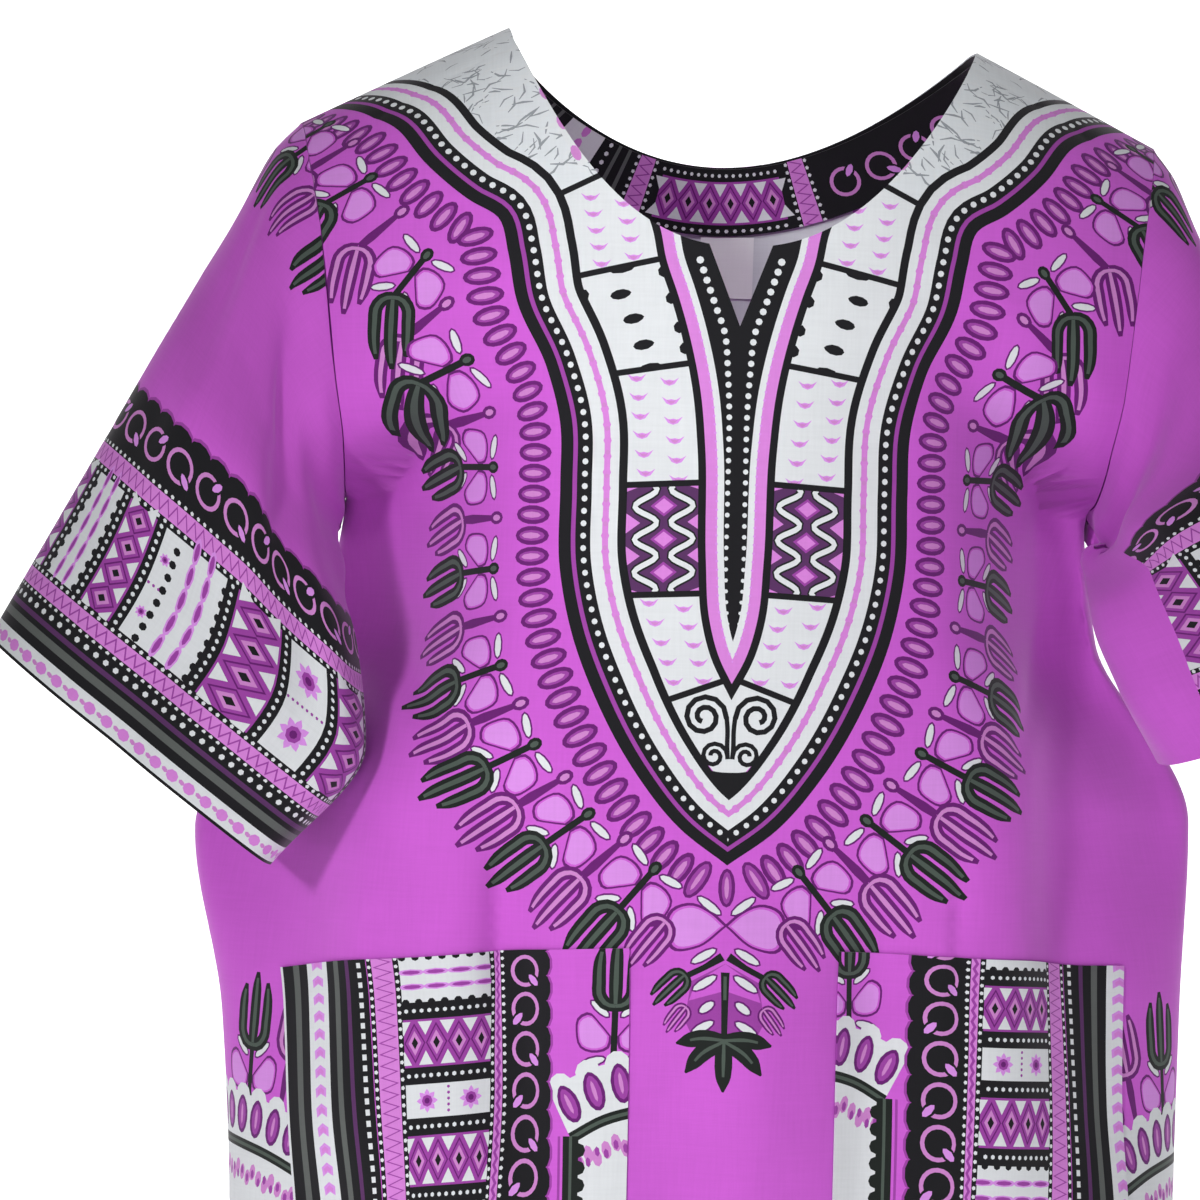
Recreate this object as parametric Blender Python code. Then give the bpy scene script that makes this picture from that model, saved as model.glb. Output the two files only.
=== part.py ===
"""Dashiki shirt, hollow as it is worn: cotton front, back, two sleeves, two patch pockets, a facing
round the inside of the back neck and a blank neck label.

The origin lies between the two high shoulder points, where the wearer's shoulders hold the shirt up.
+Z is up, the front faces -Y, and the wearer's left is +X. Lengths in the tables are millimetres.
"""

import math

import bpy
import numpy as np

MM = 0.001

# Cloth
WALL = 1.5
THIN_WALL = 1.0
SEAM_GAP = 0.3
ARMPIT_GAP = 1.2
ARMPIT_LEAN = 0.9

# Neck, measured straight down and across from the high shoulder points. The lower its power, the
# squarer the neck.
NECK_HALF_WIDTH = 127.0
NECK_SHIFT = 6.0
NECK_DROP = {"front": 118.5, "back": 59.0}
NECK_POWER = {"front": 0.44, "back": 0.5}
SLIT_HALF_WIDTH = 16.5
SLIT_BOTTOM = 160.0

# Shoulder line: its slope away from the neck, and how flat the cloth passes over it
SHOULDER_FALL = 0.46
RIDGE_ROUNDING = 1.6
SHOULDER_ROWS = (0.0, 0.1, 0.35, 0.7)

# Where across a panel the tuck between the arm and the side seam begins, and how far each panel stands
# off the middle of the shoulder and side seams
TUCK_START = 0.3
SEAM_HALF_GAP = 0.75 * SEAM_GAP
SEAM_EDGE_POWER = 8
FOLD_EDGE_POWER = 12

# Pieces sewn on the front and back
POCKET_INNER_EDGE = {-1: 49.0, 1: 60.0}
POCKET_OUTER_EDGE = {-1: 228.0, 1: 219.0}
POCKET_TOP = 480.0
POCKET_HEIGHT = 196.0
FACING_DEPTH = 37.0
FACING_EASE = 1.2
FACING_START = 4.0
FACING_INSET = 0.6
LABEL_TOP = -(NECK_DROP["back"] + FACING_DEPTH + 1.2)
LABEL_WIDTH = 30.0
LABEL_HEIGHT = 34.0
LABEL_SHIFT = 7.0

# How much further the side seams hang than the rows below say, wearer's right and left
SIDE_DROOP = {-1: 12.0, 1: -3.0}

# Rows of a body panel, from the shoulder line to the hem. A row runs from the centre line to the
# armhole or side seam. reach is the end's distance to each side (wearer's right, wearer's left),
# turn is the angle through which the row bends, and tuck is how far the cloth is pressed back
# between the arm and the side seam.
ROW_COLUMNS = ("centre_y", "centre_z", "reach_right", "reach_left", "end_y", "end_z", "turn", "tuck")
FRONT_ROWS = (
    (0.0, 57.0, 231.0, 231.0, 5.0, -50.0, 8.0, 0.0),
    (-38.0, 46.0, 226.0, 226.0, -27.0, -70.0, 14.0, 0.0),
    (-68.0, 14.0, 219.0, 219.0, -50.0, -104.0, 22.0, 0.0),
    (-88.0, -26.0, 213.0, 213.0, -63.0, -146.0, 32.0, 0.0),
    (-101.0, -72.0, 208.0, 208.0, -66.0, -188.0, 42.0, 0.0),
    (-110.0, -120.0, 203.0, 203.0, -50.0, -222.0, 58.0, 6.0),
    (-116.0, -166.0, 202.0, 202.0, -14.0, -243.0, 74.0, 20.0),
    (-119.0, -210.0, 202.0, 202.0, 26.0, -252.0, 88.0, 38.0),
    (-122.0, -290.0, 216.0, 212.0, 40.0, -322.0, 90.0, 52.0),
    (-124.0, -400.0, 279.0, 262.0, 22.0, -418.0, 90.0, 38.0),
    (-125.0, -500.0, 261.0, 256.0, 0.0, -516.0, 90.0, 10.0),
    (-126.0, -620.0, 254.0, 255.0, 0.0, -636.0, 90.0, 0.0),
    (-128.0, -745.0, 253.0, 256.0, 0.0, -760.0, 90.0, 0.0),
)
BACK_ROWS = (
    (0.0, 57.0, 231.0, 231.0, 5.0, -50.0, 8.0, 0.0),
    (37.0, 47.0, 232.0, 232.0, 38.0, -68.0, 14.0, 0.0),
    (65.0, 18.0, 229.0, 229.0, 62.0, -100.0, 22.0, 0.0),
    (83.0, -22.0, 222.0, 222.0, 76.0, -142.0, 32.0, 0.0),
    (95.0, -68.0, 216.0, 216.0, 80.0, -184.0, 42.0, 0.0),
    (102.0, -114.0, 209.0, 209.0, 74.0, -222.0, 58.0, 0.0),
    (107.0, -160.0, 204.0, 204.0, 54.0, -244.0, 74.0, 0.0),
    (109.0, -208.0, 202.0, 202.0, 26.0, -252.0, 88.0, 0.0),
    (109.0, -288.0, 216.0, 212.0, 40.0, -322.0, 90.0, 0.0),
    (108.0, -400.0, 279.0, 262.0, 22.0, -418.0, 90.0, 0.0),
    (108.0, -500.0, 261.0, 256.0, 0.0, -516.0, 90.0, 0.0),
    (110.0, -620.0, 254.0, 255.0, 0.0, -636.0, 90.0, 0.0),
    (113.0, -745.0, 253.0, 256.0, 0.0, -760.0, 90.0, 0.0),
)
UNDERARM_ROW = 7.0
UNDERARM_HEIGHT = FRONT_ROWS[int(UNDERARM_ROW)][5]
SIDE_SEAM_COLUMNS = ("reach_right", "reach_left", "end_y", "end_z")
LAST_ROW = float(len(FRONT_ROWS) - 1)

# Rings of a sleeve, from the armhole to the cuff: its outer and inner edge seen from the front, the
# middle's depth, half its own depth, and how far its underarm seam is turned towards the back.
RING_COLUMNS = ("place", "outer_x", "outer_z", "inner_x", "inner_z", "centre_y", "half_depth", "turn")
RIGHT_SLEEVE = (
    (0.00, 231.0, -50.0, 203.0, -252.0, 8.0, 70.0, 0.0),
    (0.12, 252.0, -76.0, 212.0, -262.0, 0.0, 68.0, 6.0),
    (0.30, 278.0, -130.0, 205.0, -292.0, -26.0, 62.0, 20.0),
    (0.50, 307.0, -187.0, 193.0, -330.0, -60.0, 54.0, 22.0),
    (0.75, 346.0, -260.0, 187.0, -383.0, -70.0, 51.0, 25.0),
    (1.00, 384.0, -330.0, 235.0, -445.0, -74.0, 52.0, 25.0),
)
LEFT_SLEEVE = (
    (0.00, 231.0, -50.0, 203.0, -252.0, 8.0, 70.0, 0.0),
    (0.12, 247.0, -82.0, 211.0, -258.0, -2.0, 71.0, 0.0),
    (0.30, 266.0, -132.0, 201.0, -276.0, -34.0, 72.0, 0.0),
    (0.50, 290.0, -188.0, 198.0, -304.0, -72.0, 74.0, -26.0),
    (0.75, 324.0, -258.0, 209.0, -340.0, -90.0, 78.0, -32.0),
    (1.00, 356.0, -326.0, 229.0, -380.0, -102.0, 80.0, -34.0),
)
SLEEVES = {-1: RIGHT_SLEEVE, 1: LEFT_SLEEVE}
ARMHOLE_BLEND = 0.32
SLEEVE_CLEARANCE = 3.5
CLEARANCE_START = 0.04
ARMPIT_PUFF = 9.0
PUFF_FULL = 0.05
PUFF_LENGTH = 0.3
SLEEVE_FOLD_FADE = 0.45

# Largest folds: soft ridges (height above 0) and troughs, each along a straight line on its panel
# seen from the front, x0, z0 to x1, z1, with half its width and its height.
FOLD_COLUMNS = ("x0", "z0", "x1", "z1", "half_width", "height")
FRONT_FOLDS = (
    (-168.0, -330.0, -178.0, -640.0, 24.0, 6.0),
    (-116.0, -400.0, -108.0, -640.0, 18.0, -5.0),
    (-52.0, -540.0, -46.0, -790.0, 22.0, 5.0),
    (22.0, -560.0, 26.0, -790.0, 20.0, -5.0),
    (84.0, -500.0, 92.0, -790.0, 22.0, 4.0),
    (142.0, -350.0, 150.0, -650.0, 24.0, 6.0),
    (190.0, -250.0, 184.0, -560.0, 20.0, -6.0),
    (-205.0, -560.0, -212.0, -790.0, 22.0, -6.0),
    (210.0, -560.0, 216.0, -790.0, 22.0, 6.0),
)
BACK_FOLDS = (
    (-150.0, -240.0, -168.0, -790.0, 26.0, 7.0),
    (-96.0, -330.0, -104.0, -790.0, 22.0, -6.0),
    (-38.0, -420.0, -34.0, -790.0, 24.0, 6.0),
    (24.0, -500.0, 30.0, -790.0, 20.0, -5.0),
    (82.0, -360.0, 92.0, -790.0, 24.0, 6.0),
    (140.0, -280.0, 154.0, -790.0, 22.0, -6.0),
    (196.0, -380.0, 206.0, -790.0, 24.0, 6.0),
    (-214.0, -420.0, -220.0, -790.0, 20.0, -5.0),
)
FOLD_FADE = 90.0

# Largest folds of a sleeve: the angle round the sleeve at the armhole and at the cuff, half the
# width as an angle, the height, and where it starts along the sleeve. 0 is the top, -90 the front.
SLEEVE_FOLD_COLUMNS = ("angle_0", "angle_1", "half_angle", "height", "start")
SLEEVE_FOLDS = {
    -1: ((-62.0, -58.0, 15.0, -9.0, 0.30), (-112.0, -118.0, 18.0, 5.0, 0.25),
         (60.0, 70.0, 18.0, -7.0, 0.25), (118.0, 122.0, 18.0, 5.0, 0.3)),
    1: ((-128.0, -104.0, 15.0, 9.0, 0.15), (-92.0, -70.0, 15.0, -9.0, 0.2),
        (60.0, 70.0, 18.0, -7.0, 0.25), (118.0, 122.0, 18.0, 5.0, 0.3)),
}

# Mesh density
BODY_COLUMNS = 19
SEAM_COLUMN = 0.985
NECK_ROWS = 8
SLIT_ROWS = 3
UPPER_ROW_STEP = 0.5
LOWER_ROW_STEP = 0.38
SLEEVE_START = (0.0, 0.02, 0.055, 0.1)
SLEEVE_RINGS = 11
FACING_COLUMNS = 25
FACING_ROWS = 4
LABEL_COLUMNS = 5
SMALL_STEP = 0.003
DENSE = 481
HALVINGS = 40


def ease(x):
    """Smooth step from 0 to 1."""
    x = np.clip(x, 0.0, 1.0)
    return x * x * (3.0 - 2.0 * x)


def unit(vectors):
    return vectors / np.linalg.norm(vectors, axis=-1, keepdims=True)


def smooth_through(xs, ys, at):
    """Cubic curve through the points that never overshoots between them."""
    xs, ys = np.asarray(xs, float), np.asarray(ys, float)
    step = np.diff(xs)
    slope = np.diff(ys) / step
    tangent = np.zeros_like(ys)
    rising = slope[:-1] * slope[1:] > 0.0
    harmonic = 2.0 * slope[:-1] * slope[1:] / np.where(rising, slope[:-1] + slope[1:], 1.0)
    tangent[1:-1] = np.where(rising, harmonic, 0.0)
    tangent[0], tangent[-1] = slope[0], slope[-1]
    k = np.clip(np.searchsorted(xs, at, side="right") - 1, 0, len(step) - 1)
    f = (at - xs[k]) / step[k]
    h00, h10 = (1 + 2 * f) * (1 - f) ** 2, f * (1 - f) ** 2
    h01, h11 = f * f * (3 - 2 * f), f * f * (f - 1)
    return h00 * ys[k] + h10 * step[k] * tangent[k] + h01 * ys[k + 1] + h11 * step[k] * tangent[k + 1]


def dense_table(rows, columns, places):
    """Each column of a table as a smooth curve, sampled at many places."""
    at = np.linspace(places[0], places[-1], DENSE)
    curves = {
        name: smooth_through(places, [row[i] for row in rows], at) for i, name in enumerate(columns)
    }
    curves["at"] = at
    return curves


def value(curves, name, at):
    return np.interp(at, curves["at"], curves[name])


ROW_PLACES = [float(i) for i in range(len(FRONT_ROWS))]
FRONT_CURVES = dense_table(FRONT_ROWS, ROW_COLUMNS, ROW_PLACES)
BACK_CURVES = dense_table(BACK_ROWS, ROW_COLUMNS, ROW_PLACES)
PANELS = {
    "front": {"rows": FRONT_CURVES, "folds": FRONT_FOLDS, "out": -1.0},
    "back": {"rows": BACK_CURVES, "folds": BACK_FOLDS, "out": 1.0},
}

BELOW_ARM = FRONT_CURVES["at"] >= UNDERARM_ROW
for seam_column in SIDE_SEAM_COLUMNS:
    BACK_CURVES[seam_column][BELOW_ARM] = FRONT_CURVES[seam_column][BELOW_ARM]


def plain_body(panel, s, r):
    """Point of a body panel without folds. s runs from -1 to 1 across, r from 0 to the last row."""
    rows = PANELS[panel]["rows"]
    across = np.abs(s)
    turn = np.radians(value(rows, "turn", r))
    reach = np.where(s < 0.0, value(rows, "reach_right", r), value(rows, "reach_left", r))
    x = reach * np.sin(across * turn) / np.sin(turn)
    centre_y, end_y = value(rows, "centre_y", r), value(rows, "end_y", r)
    y = centre_y + (end_y - centre_y) * (1.0 - np.cos(across * turn)) / (1.0 - np.cos(turn))
    hollow = np.sin(np.pi * np.clip((across - TUCK_START) / (1.0 - TUCK_START), 0.0, 1.0)) ** 2
    y = y + value(rows, "tuck", r) * hollow
    level = np.where(r < 1.0, np.abs(r) ** RIDGE_ROUNDING, r)
    centre_z, end_z = value(rows, "centre_z", level), value(rows, "end_z", level)
    sag_power = 1.0 + np.degrees(turn) / 90.0
    z = centre_z + (end_z - centre_z) * (x / reach) ** sag_power
    droop = np.where(s < 0.0, SIDE_DROOP[-1], SIDE_DROOP[1])
    z = z - droop * (x / reach) ** 2 * ease((r - UNDERARM_ROW) / 2.0)
    apart = across ** SEAM_EDGE_POWER + np.clip(1.0 - r, 0.0, 1.0)
    y = y + PANELS[panel]["out"] * SEAM_HALF_GAP * apart
    return np.stack([np.sign(s) * x, y, z], axis=-1)


def fold_height(folds, x, z):
    """Height of all the folds of a panel at a place seen from the front."""
    total = np.zeros_like(x)
    for row in folds:
        fold = dict(zip(FOLD_COLUMNS, row))
        dx, dz = fold["x1"] - fold["x0"], fold["z1"] - fold["z0"]
        length = math.hypot(dx, dz)
        along = ((x - fold["x0"]) * dx + (z - fold["z0"]) * dz) / length
        aside = ((x - fold["x0"]) * dz - (z - fold["z0"]) * dx) / length
        fade = ease(along / FOLD_FADE) * ease((length - along) / FOLD_FADE)
        total = total + fold["height"] * np.exp(-(aside / fold["half_width"]) ** 2) * fade
    return total


def body_frame(panel, s, r):
    """Point of a body panel with its folds, and the way out of the cloth there."""
    s, r = np.broadcast_arrays(np.asarray(s, float), np.asarray(r, float))
    base = plain_body(panel, s, r)
    low_s, high_s = np.clip(s - SMALL_STEP, -1.0, 1.0), np.clip(s + SMALL_STEP, -1.0, 1.0)
    low_r, high_r = np.clip(r - SMALL_STEP, 0.0, LAST_ROW), np.clip(r + SMALL_STEP, 0.0, LAST_ROW)
    across = plain_body(panel, high_s, r) - plain_body(panel, low_s, r)
    down = plain_body(panel, s, high_r) - plain_body(panel, s, low_r)
    normal = unit(np.cross(across, down) * PANELS[panel]["out"])
    height = fold_height(PANELS[panel]["folds"], base[..., 0], base[..., 2])
    height = height * (1.0 - np.abs(s) ** FOLD_EDGE_POWER)
    return base + normal * height[..., None], normal


def body_wall(panel, s, r, lift=0.0, wall=WALL):
    """Outer and inner points of cloth that lies on a body panel, or of the panel itself."""
    point, normal = body_frame(panel, s, r)
    return point + normal * lift, point + normal * (lift - wall)


def place(panel, x, z):
    """(s, r) of the point of a body panel that lies at x, z seen from the front."""
    x, z = np.broadcast_arrays(np.asarray(x, float), np.asarray(z, float))
    rows = PANELS[panel]["rows"]
    side = np.where(x < 0.0, -1.0, 1.0)
    low, high = np.zeros_like(x), np.full_like(x, LAST_ROW)

    def across(r):
        turn = np.radians(value(rows, "turn", r))
        reach = np.where(side < 0.0, value(rows, "reach_right", r), value(rows, "reach_left", r))
        return side * np.arcsin(np.clip(np.abs(x) / reach * np.sin(turn), 0.0, np.sin(turn))) / turn

    for _ in range(HALVINGS):
        middle = (low + high) / 2.0
        above = plain_body(panel, across(middle), middle)[..., 2] > z
        low, high = np.where(above, middle, low), np.where(above, high, middle)
    return across(low), low


def neck_half_width(depth, side, drop, power):
    """Half the neck's width at a depth below the high shoulder points."""
    part = np.clip(depth / drop, 0.0, 1.0)
    return NECK_HALF_WIDTH * (1.0 - part) ** power + side * NECK_SHIFT * (1.0 - part)


def neck_edge(panel, r, side):
    """How far across (s) a row starts: at the neck, at the slit or at the centre line."""
    drop, power = NECK_DROP[panel], NECK_POWER[panel]

    def inside(s):
        x, _, z = plain_body(panel, np.asarray(side * s), np.asarray(r))
        depth = -z
        edge = neck_half_width(depth, side, drop, power) if depth < drop else 0.0
        if panel == "front" and depth < SLIT_BOTTOM:
            narrowing = min(1.0, (SLIT_BOTTOM - depth) / (SLIT_BOTTOM - drop))
            edge = max(edge, SLIT_HALF_WIDTH * narrowing)
        return abs(x) < edge

    if not inside(1e-6):
        return 0.0
    low, high = 0.0, 1.0
    for _ in range(HALVINGS):
        middle = (low + high) / 2.0
        low, high = (middle, high) if inside(middle) else (low, middle)
    return high


class Cloth:
    """Wall of cloth: outer points, the inner point behind each, and the faces over the outer ones."""

    def __init__(self):
        self.outer, self.inner, self.faces, self.known = [], [], [], {}

    def point(self, outer, inner):
        key = tuple(np.round(outer, 4))
        if key not in self.known:
            self.known[key] = len(self.outer)
            self.outer.append(outer)
            self.inner.append(inner)
        return self.known[key]

    def grid(self, outer, inner, flip=False):
        """Faces over a grid of points, (rows, columns, 3)."""
        index = [[self.point(p, q) for p, q in zip(*row)] for row in zip(outer, inner)]
        for upper, lower in zip(index[:-1], index[1:]):
            for a, b, c, d in zip(upper, upper[1:], lower[1:], lower):
                for face in ([a, b, c], [a, c, d]):
                    if len(set(face)) == 3:
                        self.faces.append(face[::-1] if flip else face)

    def build(self, name, material):
        """The closed wall: its two sides, joined round every edge of the cloth."""
        behind = len(self.outer)
        faces = [list(face) for face in self.faces]
        faces += [[v + behind for v in reversed(face)] for face in self.faces]
        edges = {(a, b) for face in self.faces for a, b in zip(face, face[1:] + face[:1])}
        faces += [[b, a, a + behind, b + behind] for a, b in sorted(edges) if (b, a) not in edges]
        points = np.array(self.outer + self.inner) * MM
        mesh = bpy.data.meshes.new(name)
        mesh.from_pydata(points.tolist(), [], faces)
        mesh.update()
        mesh.shade_smooth()
        mesh.materials.append(material)
        piece = bpy.data.objects.new(name, mesh)
        COLLECTION.objects.link(piece)
        return piece


def row_at(centre_z):
    """Row of the front whose centre lies at a height."""
    return float(np.interp(-centre_z, -FRONT_CURVES["centre_z"], FRONT_CURVES["at"]))


POCKET_ROWS = (row_at(-POCKET_TOP), row_at(-POCKET_TOP - POCKET_HEIGHT))


def pocket_reach(side, x):
    """How far across (s) an edge of a pocket lies, at the row of its top."""
    reach = value(FRONT_CURVES, "reach_right" if side < 0 else "reach_left", POCKET_ROWS[0])
    return math.asin(x / reach) / (math.pi / 2.0)


def column_list(side, panel):
    """Columns of one half of a panel's mesh. The pockets' edges lie on columns of the front."""
    if panel == "back":
        return np.append(np.linspace(0.0, 1.0, BODY_COLUMNS)[:-1], (SEAM_COLUMN, 1.0))
    stops = [0.0, *(pocket_reach(side, edge[side]) for edge in (POCKET_INNER_EDGE, POCKET_OUTER_EDGE)), 1.0]
    columns = [0.0]
    for start, end in zip(stops[:-1], stops[1:]):
        count = max(2, round((end - start) * (BODY_COLUMNS - 1)))
        columns += list(np.linspace(start, end, count + 1)[1:])
    return np.append(columns[:-1], (SEAM_COLUMN, 1.0))


def row_list(panel):
    """Rows of a panel's mesh: closer where the neck curves, with the pockets' top and bottom."""
    neck_row = float(place(panel, SLIT_HALF_WIDTH if panel == "front" else 0.0, -NECK_DROP[panel])[1])
    rows = list(SHOULDER_ROWS)
    closer = np.sin(np.linspace(0.0, math.pi / 2.0, NECK_ROWS))[1:]
    rows += list(rows[-1] + (neck_row - rows[-1]) * closer)
    if panel == "front":
        slit_row = float(place(panel, 0.0, -SLIT_BOTTOM)[1])
        rows += list(np.linspace(neck_row, slit_row, SLIT_ROWS)[1:])
    below = max(1, round((UNDERARM_ROW - rows[-1]) / UPPER_ROW_STEP))
    rows += list(np.linspace(rows[-1], UNDERARM_ROW, below + 1)[1:])
    for stop in (*POCKET_ROWS, LAST_ROW):
        count = max(1, round((stop - rows[-1]) / LOWER_ROW_STEP))
        rows += list(np.linspace(rows[-1], stop, count + 1)[1:])
    return rows


def make_panel(name, panel, material):
    """Front or back of the body, cut out for the neck."""
    cloth = Cloth()
    for side in (-1, 1):
        fractions = column_list(side, panel)
        starts = [neck_edge(panel, r, side) for r in row_list(panel)]
        walls = [
            body_wall(panel, side * (start + (1.0 - start) * fractions), r)
            for start, r in zip(starts, row_list(panel))
        ]
        cloth.grid([w[0] for w in walls], [w[1] for w in walls], flip=(side * PANELS[panel]["out"] < 0))
    return cloth.build(name, material)


def armhole(side, angle):
    """Armhole at an angle round it, 0 at the shoulder and 180 under the arm: the point where the
    sleeve starts, and the way out of the cloth."""
    frames = []
    for panel, turning in (("front", 1.0), ("back", -1.0)):
        r = UNDERARM_ROW * np.abs(angle) / 180.0
        ends = np.full_like(r, float(side))
        point, normal = body_frame(panel, ends, r)
        before, after = np.clip(r - SMALL_STEP, 0.0, LAST_ROW), np.clip(r + SMALL_STEP, 0.0, LAST_ROW)
        along = plain_body(panel, ends, after) - plain_body(panel, ends, before)
        away = unit(np.cross(normal, along)) * side * turning
        low = ((np.abs(angle) / 180.0) ** 4)[..., None]
        start = point + away * (SEAM_GAP + ARMPIT_GAP * low)
        frames.append((start, unit(normal - away * low * ARMPIT_LEAN)))
    in_front = (angle <= 0.0)[..., None]
    return tuple(np.where(in_front, *pair) for pair in zip(*frames))


def sleeve_point(side, angle, t):
    """Point of a sleeve at an angle round it, t from the armhole to the cuff."""
    rings = SLEEVE_CURVES[side]
    ring = {name: value(rings, name, t) for name in RING_COLUMNS}
    zero = {name: value(rings, name, 0.0) for name in RING_COLUMNS}
    outer = np.stack([side * ring["outer_x"], ring["centre_y"], ring["outer_z"]], axis=-1)
    inner = np.stack([side * ring["inner_x"], ring["centre_y"], ring["inner_z"]], axis=-1)
    start_x = side * (zero["outer_x"] + zero["inner_x"]) / 2.0
    start = np.array([start_x, zero["centre_y"], (zero["outer_z"] + zero["inner_z"]) / 2.0])
    centre = (outer + inner) / 2.0
    turned = np.radians(angle - ring["turn"])
    bulge = np.zeros_like(turned)
    for row in SLEEVE_FOLDS[side]:
        fold = dict(zip(SLEEVE_FOLD_COLUMNS, row))
        middle = fold["angle_0"] + (fold["angle_1"] - fold["angle_0"]) * t
        ridge = fold["height"] * np.exp(-((angle - middle) / fold["half_angle"]) ** 2)
        bulge = bulge + ridge * ease((t - fold["start"]) / SLEEVE_FOLD_FADE)
    half = (outer - inner) / 2.0
    depth = np.zeros_like(half)
    depth[..., 1] = ring["half_depth"]
    grow = (1.0 + bulge / ring["half_depth"])[..., None]
    ellipse = half * np.cos(turned)[..., None] + depth * np.sin(turned)[..., None]
    round_point = centre + ellipse * grow
    hole, way_out = armhole(side, angle)
    mix = ease(t / ARMHOLE_BLEND)[..., None]
    point = (hole + centre - start) * (1.0 - mix) + round_point * mix
    puff = ARMPIT_PUFF * (np.abs(angle) / 180.0) ** 3
    puff = puff * ease(t / PUFF_FULL) * (1.0 - ease((t - PUFF_FULL) / PUFF_LENGTH))
    point = point + way_out * puff[..., None]
    # Where the sleeve hangs before the body it lies just in front of it.
    front, _ = body_frame("front", *place("front", point[..., 0], point[..., 2]))
    before = np.abs(point[..., 0]) < np.abs(front[..., 0]) + 0.5
    before &= (angle < 0.0) | (point[..., 2] < UNDERARM_HEIGHT)
    clear = SLEEVE_CLEARANCE * ease(t / CLEARANCE_START)
    pushed = np.minimum(point[..., 1], front[..., 1] - clear)
    point[..., 1] = np.where(before & (t > 0.0), pushed, point[..., 1])
    return point


SLEEVE_CURVES = {
    side: dense_table(rows, RING_COLUMNS, [row[0] for row in rows]) for side, rows in SLEEVES.items()
}


def make_sleeve(name, side, material):
    """Tube of cloth from the armhole to the cuff. Its points meet the panels' own at the armhole."""
    before, behind = (
        np.array([r for r in row_list(panel) if r < UNDERARM_ROW - 1e-6]) * 180.0 / UNDERARM_ROW
        for panel in ("front", "back")
    )
    angles = np.concatenate([[-180.0], -before[::-1], behind[1:]])
    places = np.concatenate([SLEEVE_START, np.linspace(SLEEVE_START[-1], 1.0, SLEEVE_RINGS + 1)[1:]])
    outer = np.array([sleeve_point(side, angles, np.full_like(angles, t)) for t in places])
    around = np.roll(outer, -1, axis=1) - np.roll(outer, 1, axis=1)
    along = np.gradient(outer, places, axis=0)
    normal = unit(np.cross(around, along) * -side)
    normal[0] = armhole(side, angles)[1]
    inner = outer - normal * WALL
    cloth = Cloth()
    cloth.grid(*(np.concatenate([g, g[:, :1]], axis=1) for g in (outer, inner)), flip=(side > 0))
    return cloth.build(name, material)


def make_pocket(name, side, material):
    """Patch pocket, on the front panel's own points moved out."""
    inner_edge = pocket_reach(side, POCKET_INNER_EDGE[side]) - 1e-6
    outer_edge = pocket_reach(side, POCKET_OUTER_EDGE[side]) + 1e-6
    columns = np.array([s for s in column_list(side, "front") if inner_edge <= s <= outer_edge])
    rows = [r for r in row_list("front") if POCKET_ROWS[0] - 1e-6 <= r <= POCKET_ROWS[1] + 1e-6]
    walls = [body_wall("front", side * columns, r, SEAM_GAP + THIN_WALL, THIN_WALL) for r in rows]
    cloth = Cloth()
    cloth.grid([w[0] for w in walls], [w[1] for w in walls], flip=(side > 0))
    return cloth.build(name, material)


def make_inside_back(name, rows, lift, material):
    """Cloth against the inside of the back, over rows of places (x, z) seen from the front."""
    walls = [body_wall("back", *place("back", *np.array(row).T), lift, THIN_WALL) for row in rows]
    cloth = Cloth()
    cloth.grid([w[0] for w in walls], [w[1] for w in walls])
    return cloth.build(name, material)


def facing_row(out):
    """Places along the back neck, a distance out from its edge."""
    places = []
    for part in np.linspace(-1.0, 1.0, FACING_COLUMNS):
        down = 1.0 - part * part
        half = (NECK_HALF_WIDTH + out) * abs(part)
        x = math.copysign(half, part) + NECK_SHIFT * (1.0 - down)
        z = -(NECK_DROP["back"] + out + FACING_INSET) * down
        z -= (SHOULDER_FALL * out + FACING_START) * (1.0 - down)
        places.append((x, z))
    return places


def label_row(top, down):
    parts = np.linspace(-0.5, 0.5, LABEL_COLUMNS)
    return [(LABEL_SHIFT + LABEL_WIDTH * part, top - down) for part in parts]


def cloth_material(name, colour, roughness=0.85):
    material = bpy.data.materials.new(name)
    material.use_nodes = True
    shader = material.node_tree.nodes["Principled BSDF"]
    shader.inputs["Base Color"].default_value = (*colour, 1.0)
    shader.inputs["Roughness"].default_value = roughness
    shader.inputs["Metallic"].default_value = 0.0
    return material


for old in list(bpy.data.objects):
    bpy.data.objects.remove(old, do_unlink=True)
COLLECTION = bpy.data.collections.new("dashiki_shirt")
bpy.context.scene.collection.children.link(COLLECTION)

make_panel("front", "front", cloth_material("printed cotton, front", (0.45, 0.10, 0.52)))
make_panel("back", "back", cloth_material("printed cotton, back", (0.43, 0.09, 0.50)))
make_sleeve("sleeve_right", -1, cloth_material("printed cotton, right sleeve", (0.50, 0.14, 0.56)))
make_sleeve("sleeve_left", 1, cloth_material("printed cotton, left sleeve", (0.50, 0.14, 0.56)))
make_pocket("pocket_right", -1, cloth_material("printed cotton, right pocket", (0.30, 0.22, 0.34)))
make_pocket("pocket_left", 1, cloth_material("printed cotton, left pocket", (0.30, 0.22, 0.34)))
make_inside_back(
    "back_neck_facing",
    [facing_row(out) for out in np.linspace(0.0, FACING_DEPTH, FACING_ROWS)],
    -(WALL + SEAM_GAP + FACING_EASE),
    cloth_material("printed cotton, facing", (0.28, 0.20, 0.32)),
)
make_inside_back(
    "neck_label",
    [label_row(LABEL_TOP, down) for down in np.linspace(0.0, LABEL_HEIGHT, LABEL_COLUMNS)],
    -(WALL + SEAM_GAP),
    cloth_material("white label tape", (0.75, 0.77, 0.80), 0.7),
)
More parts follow.
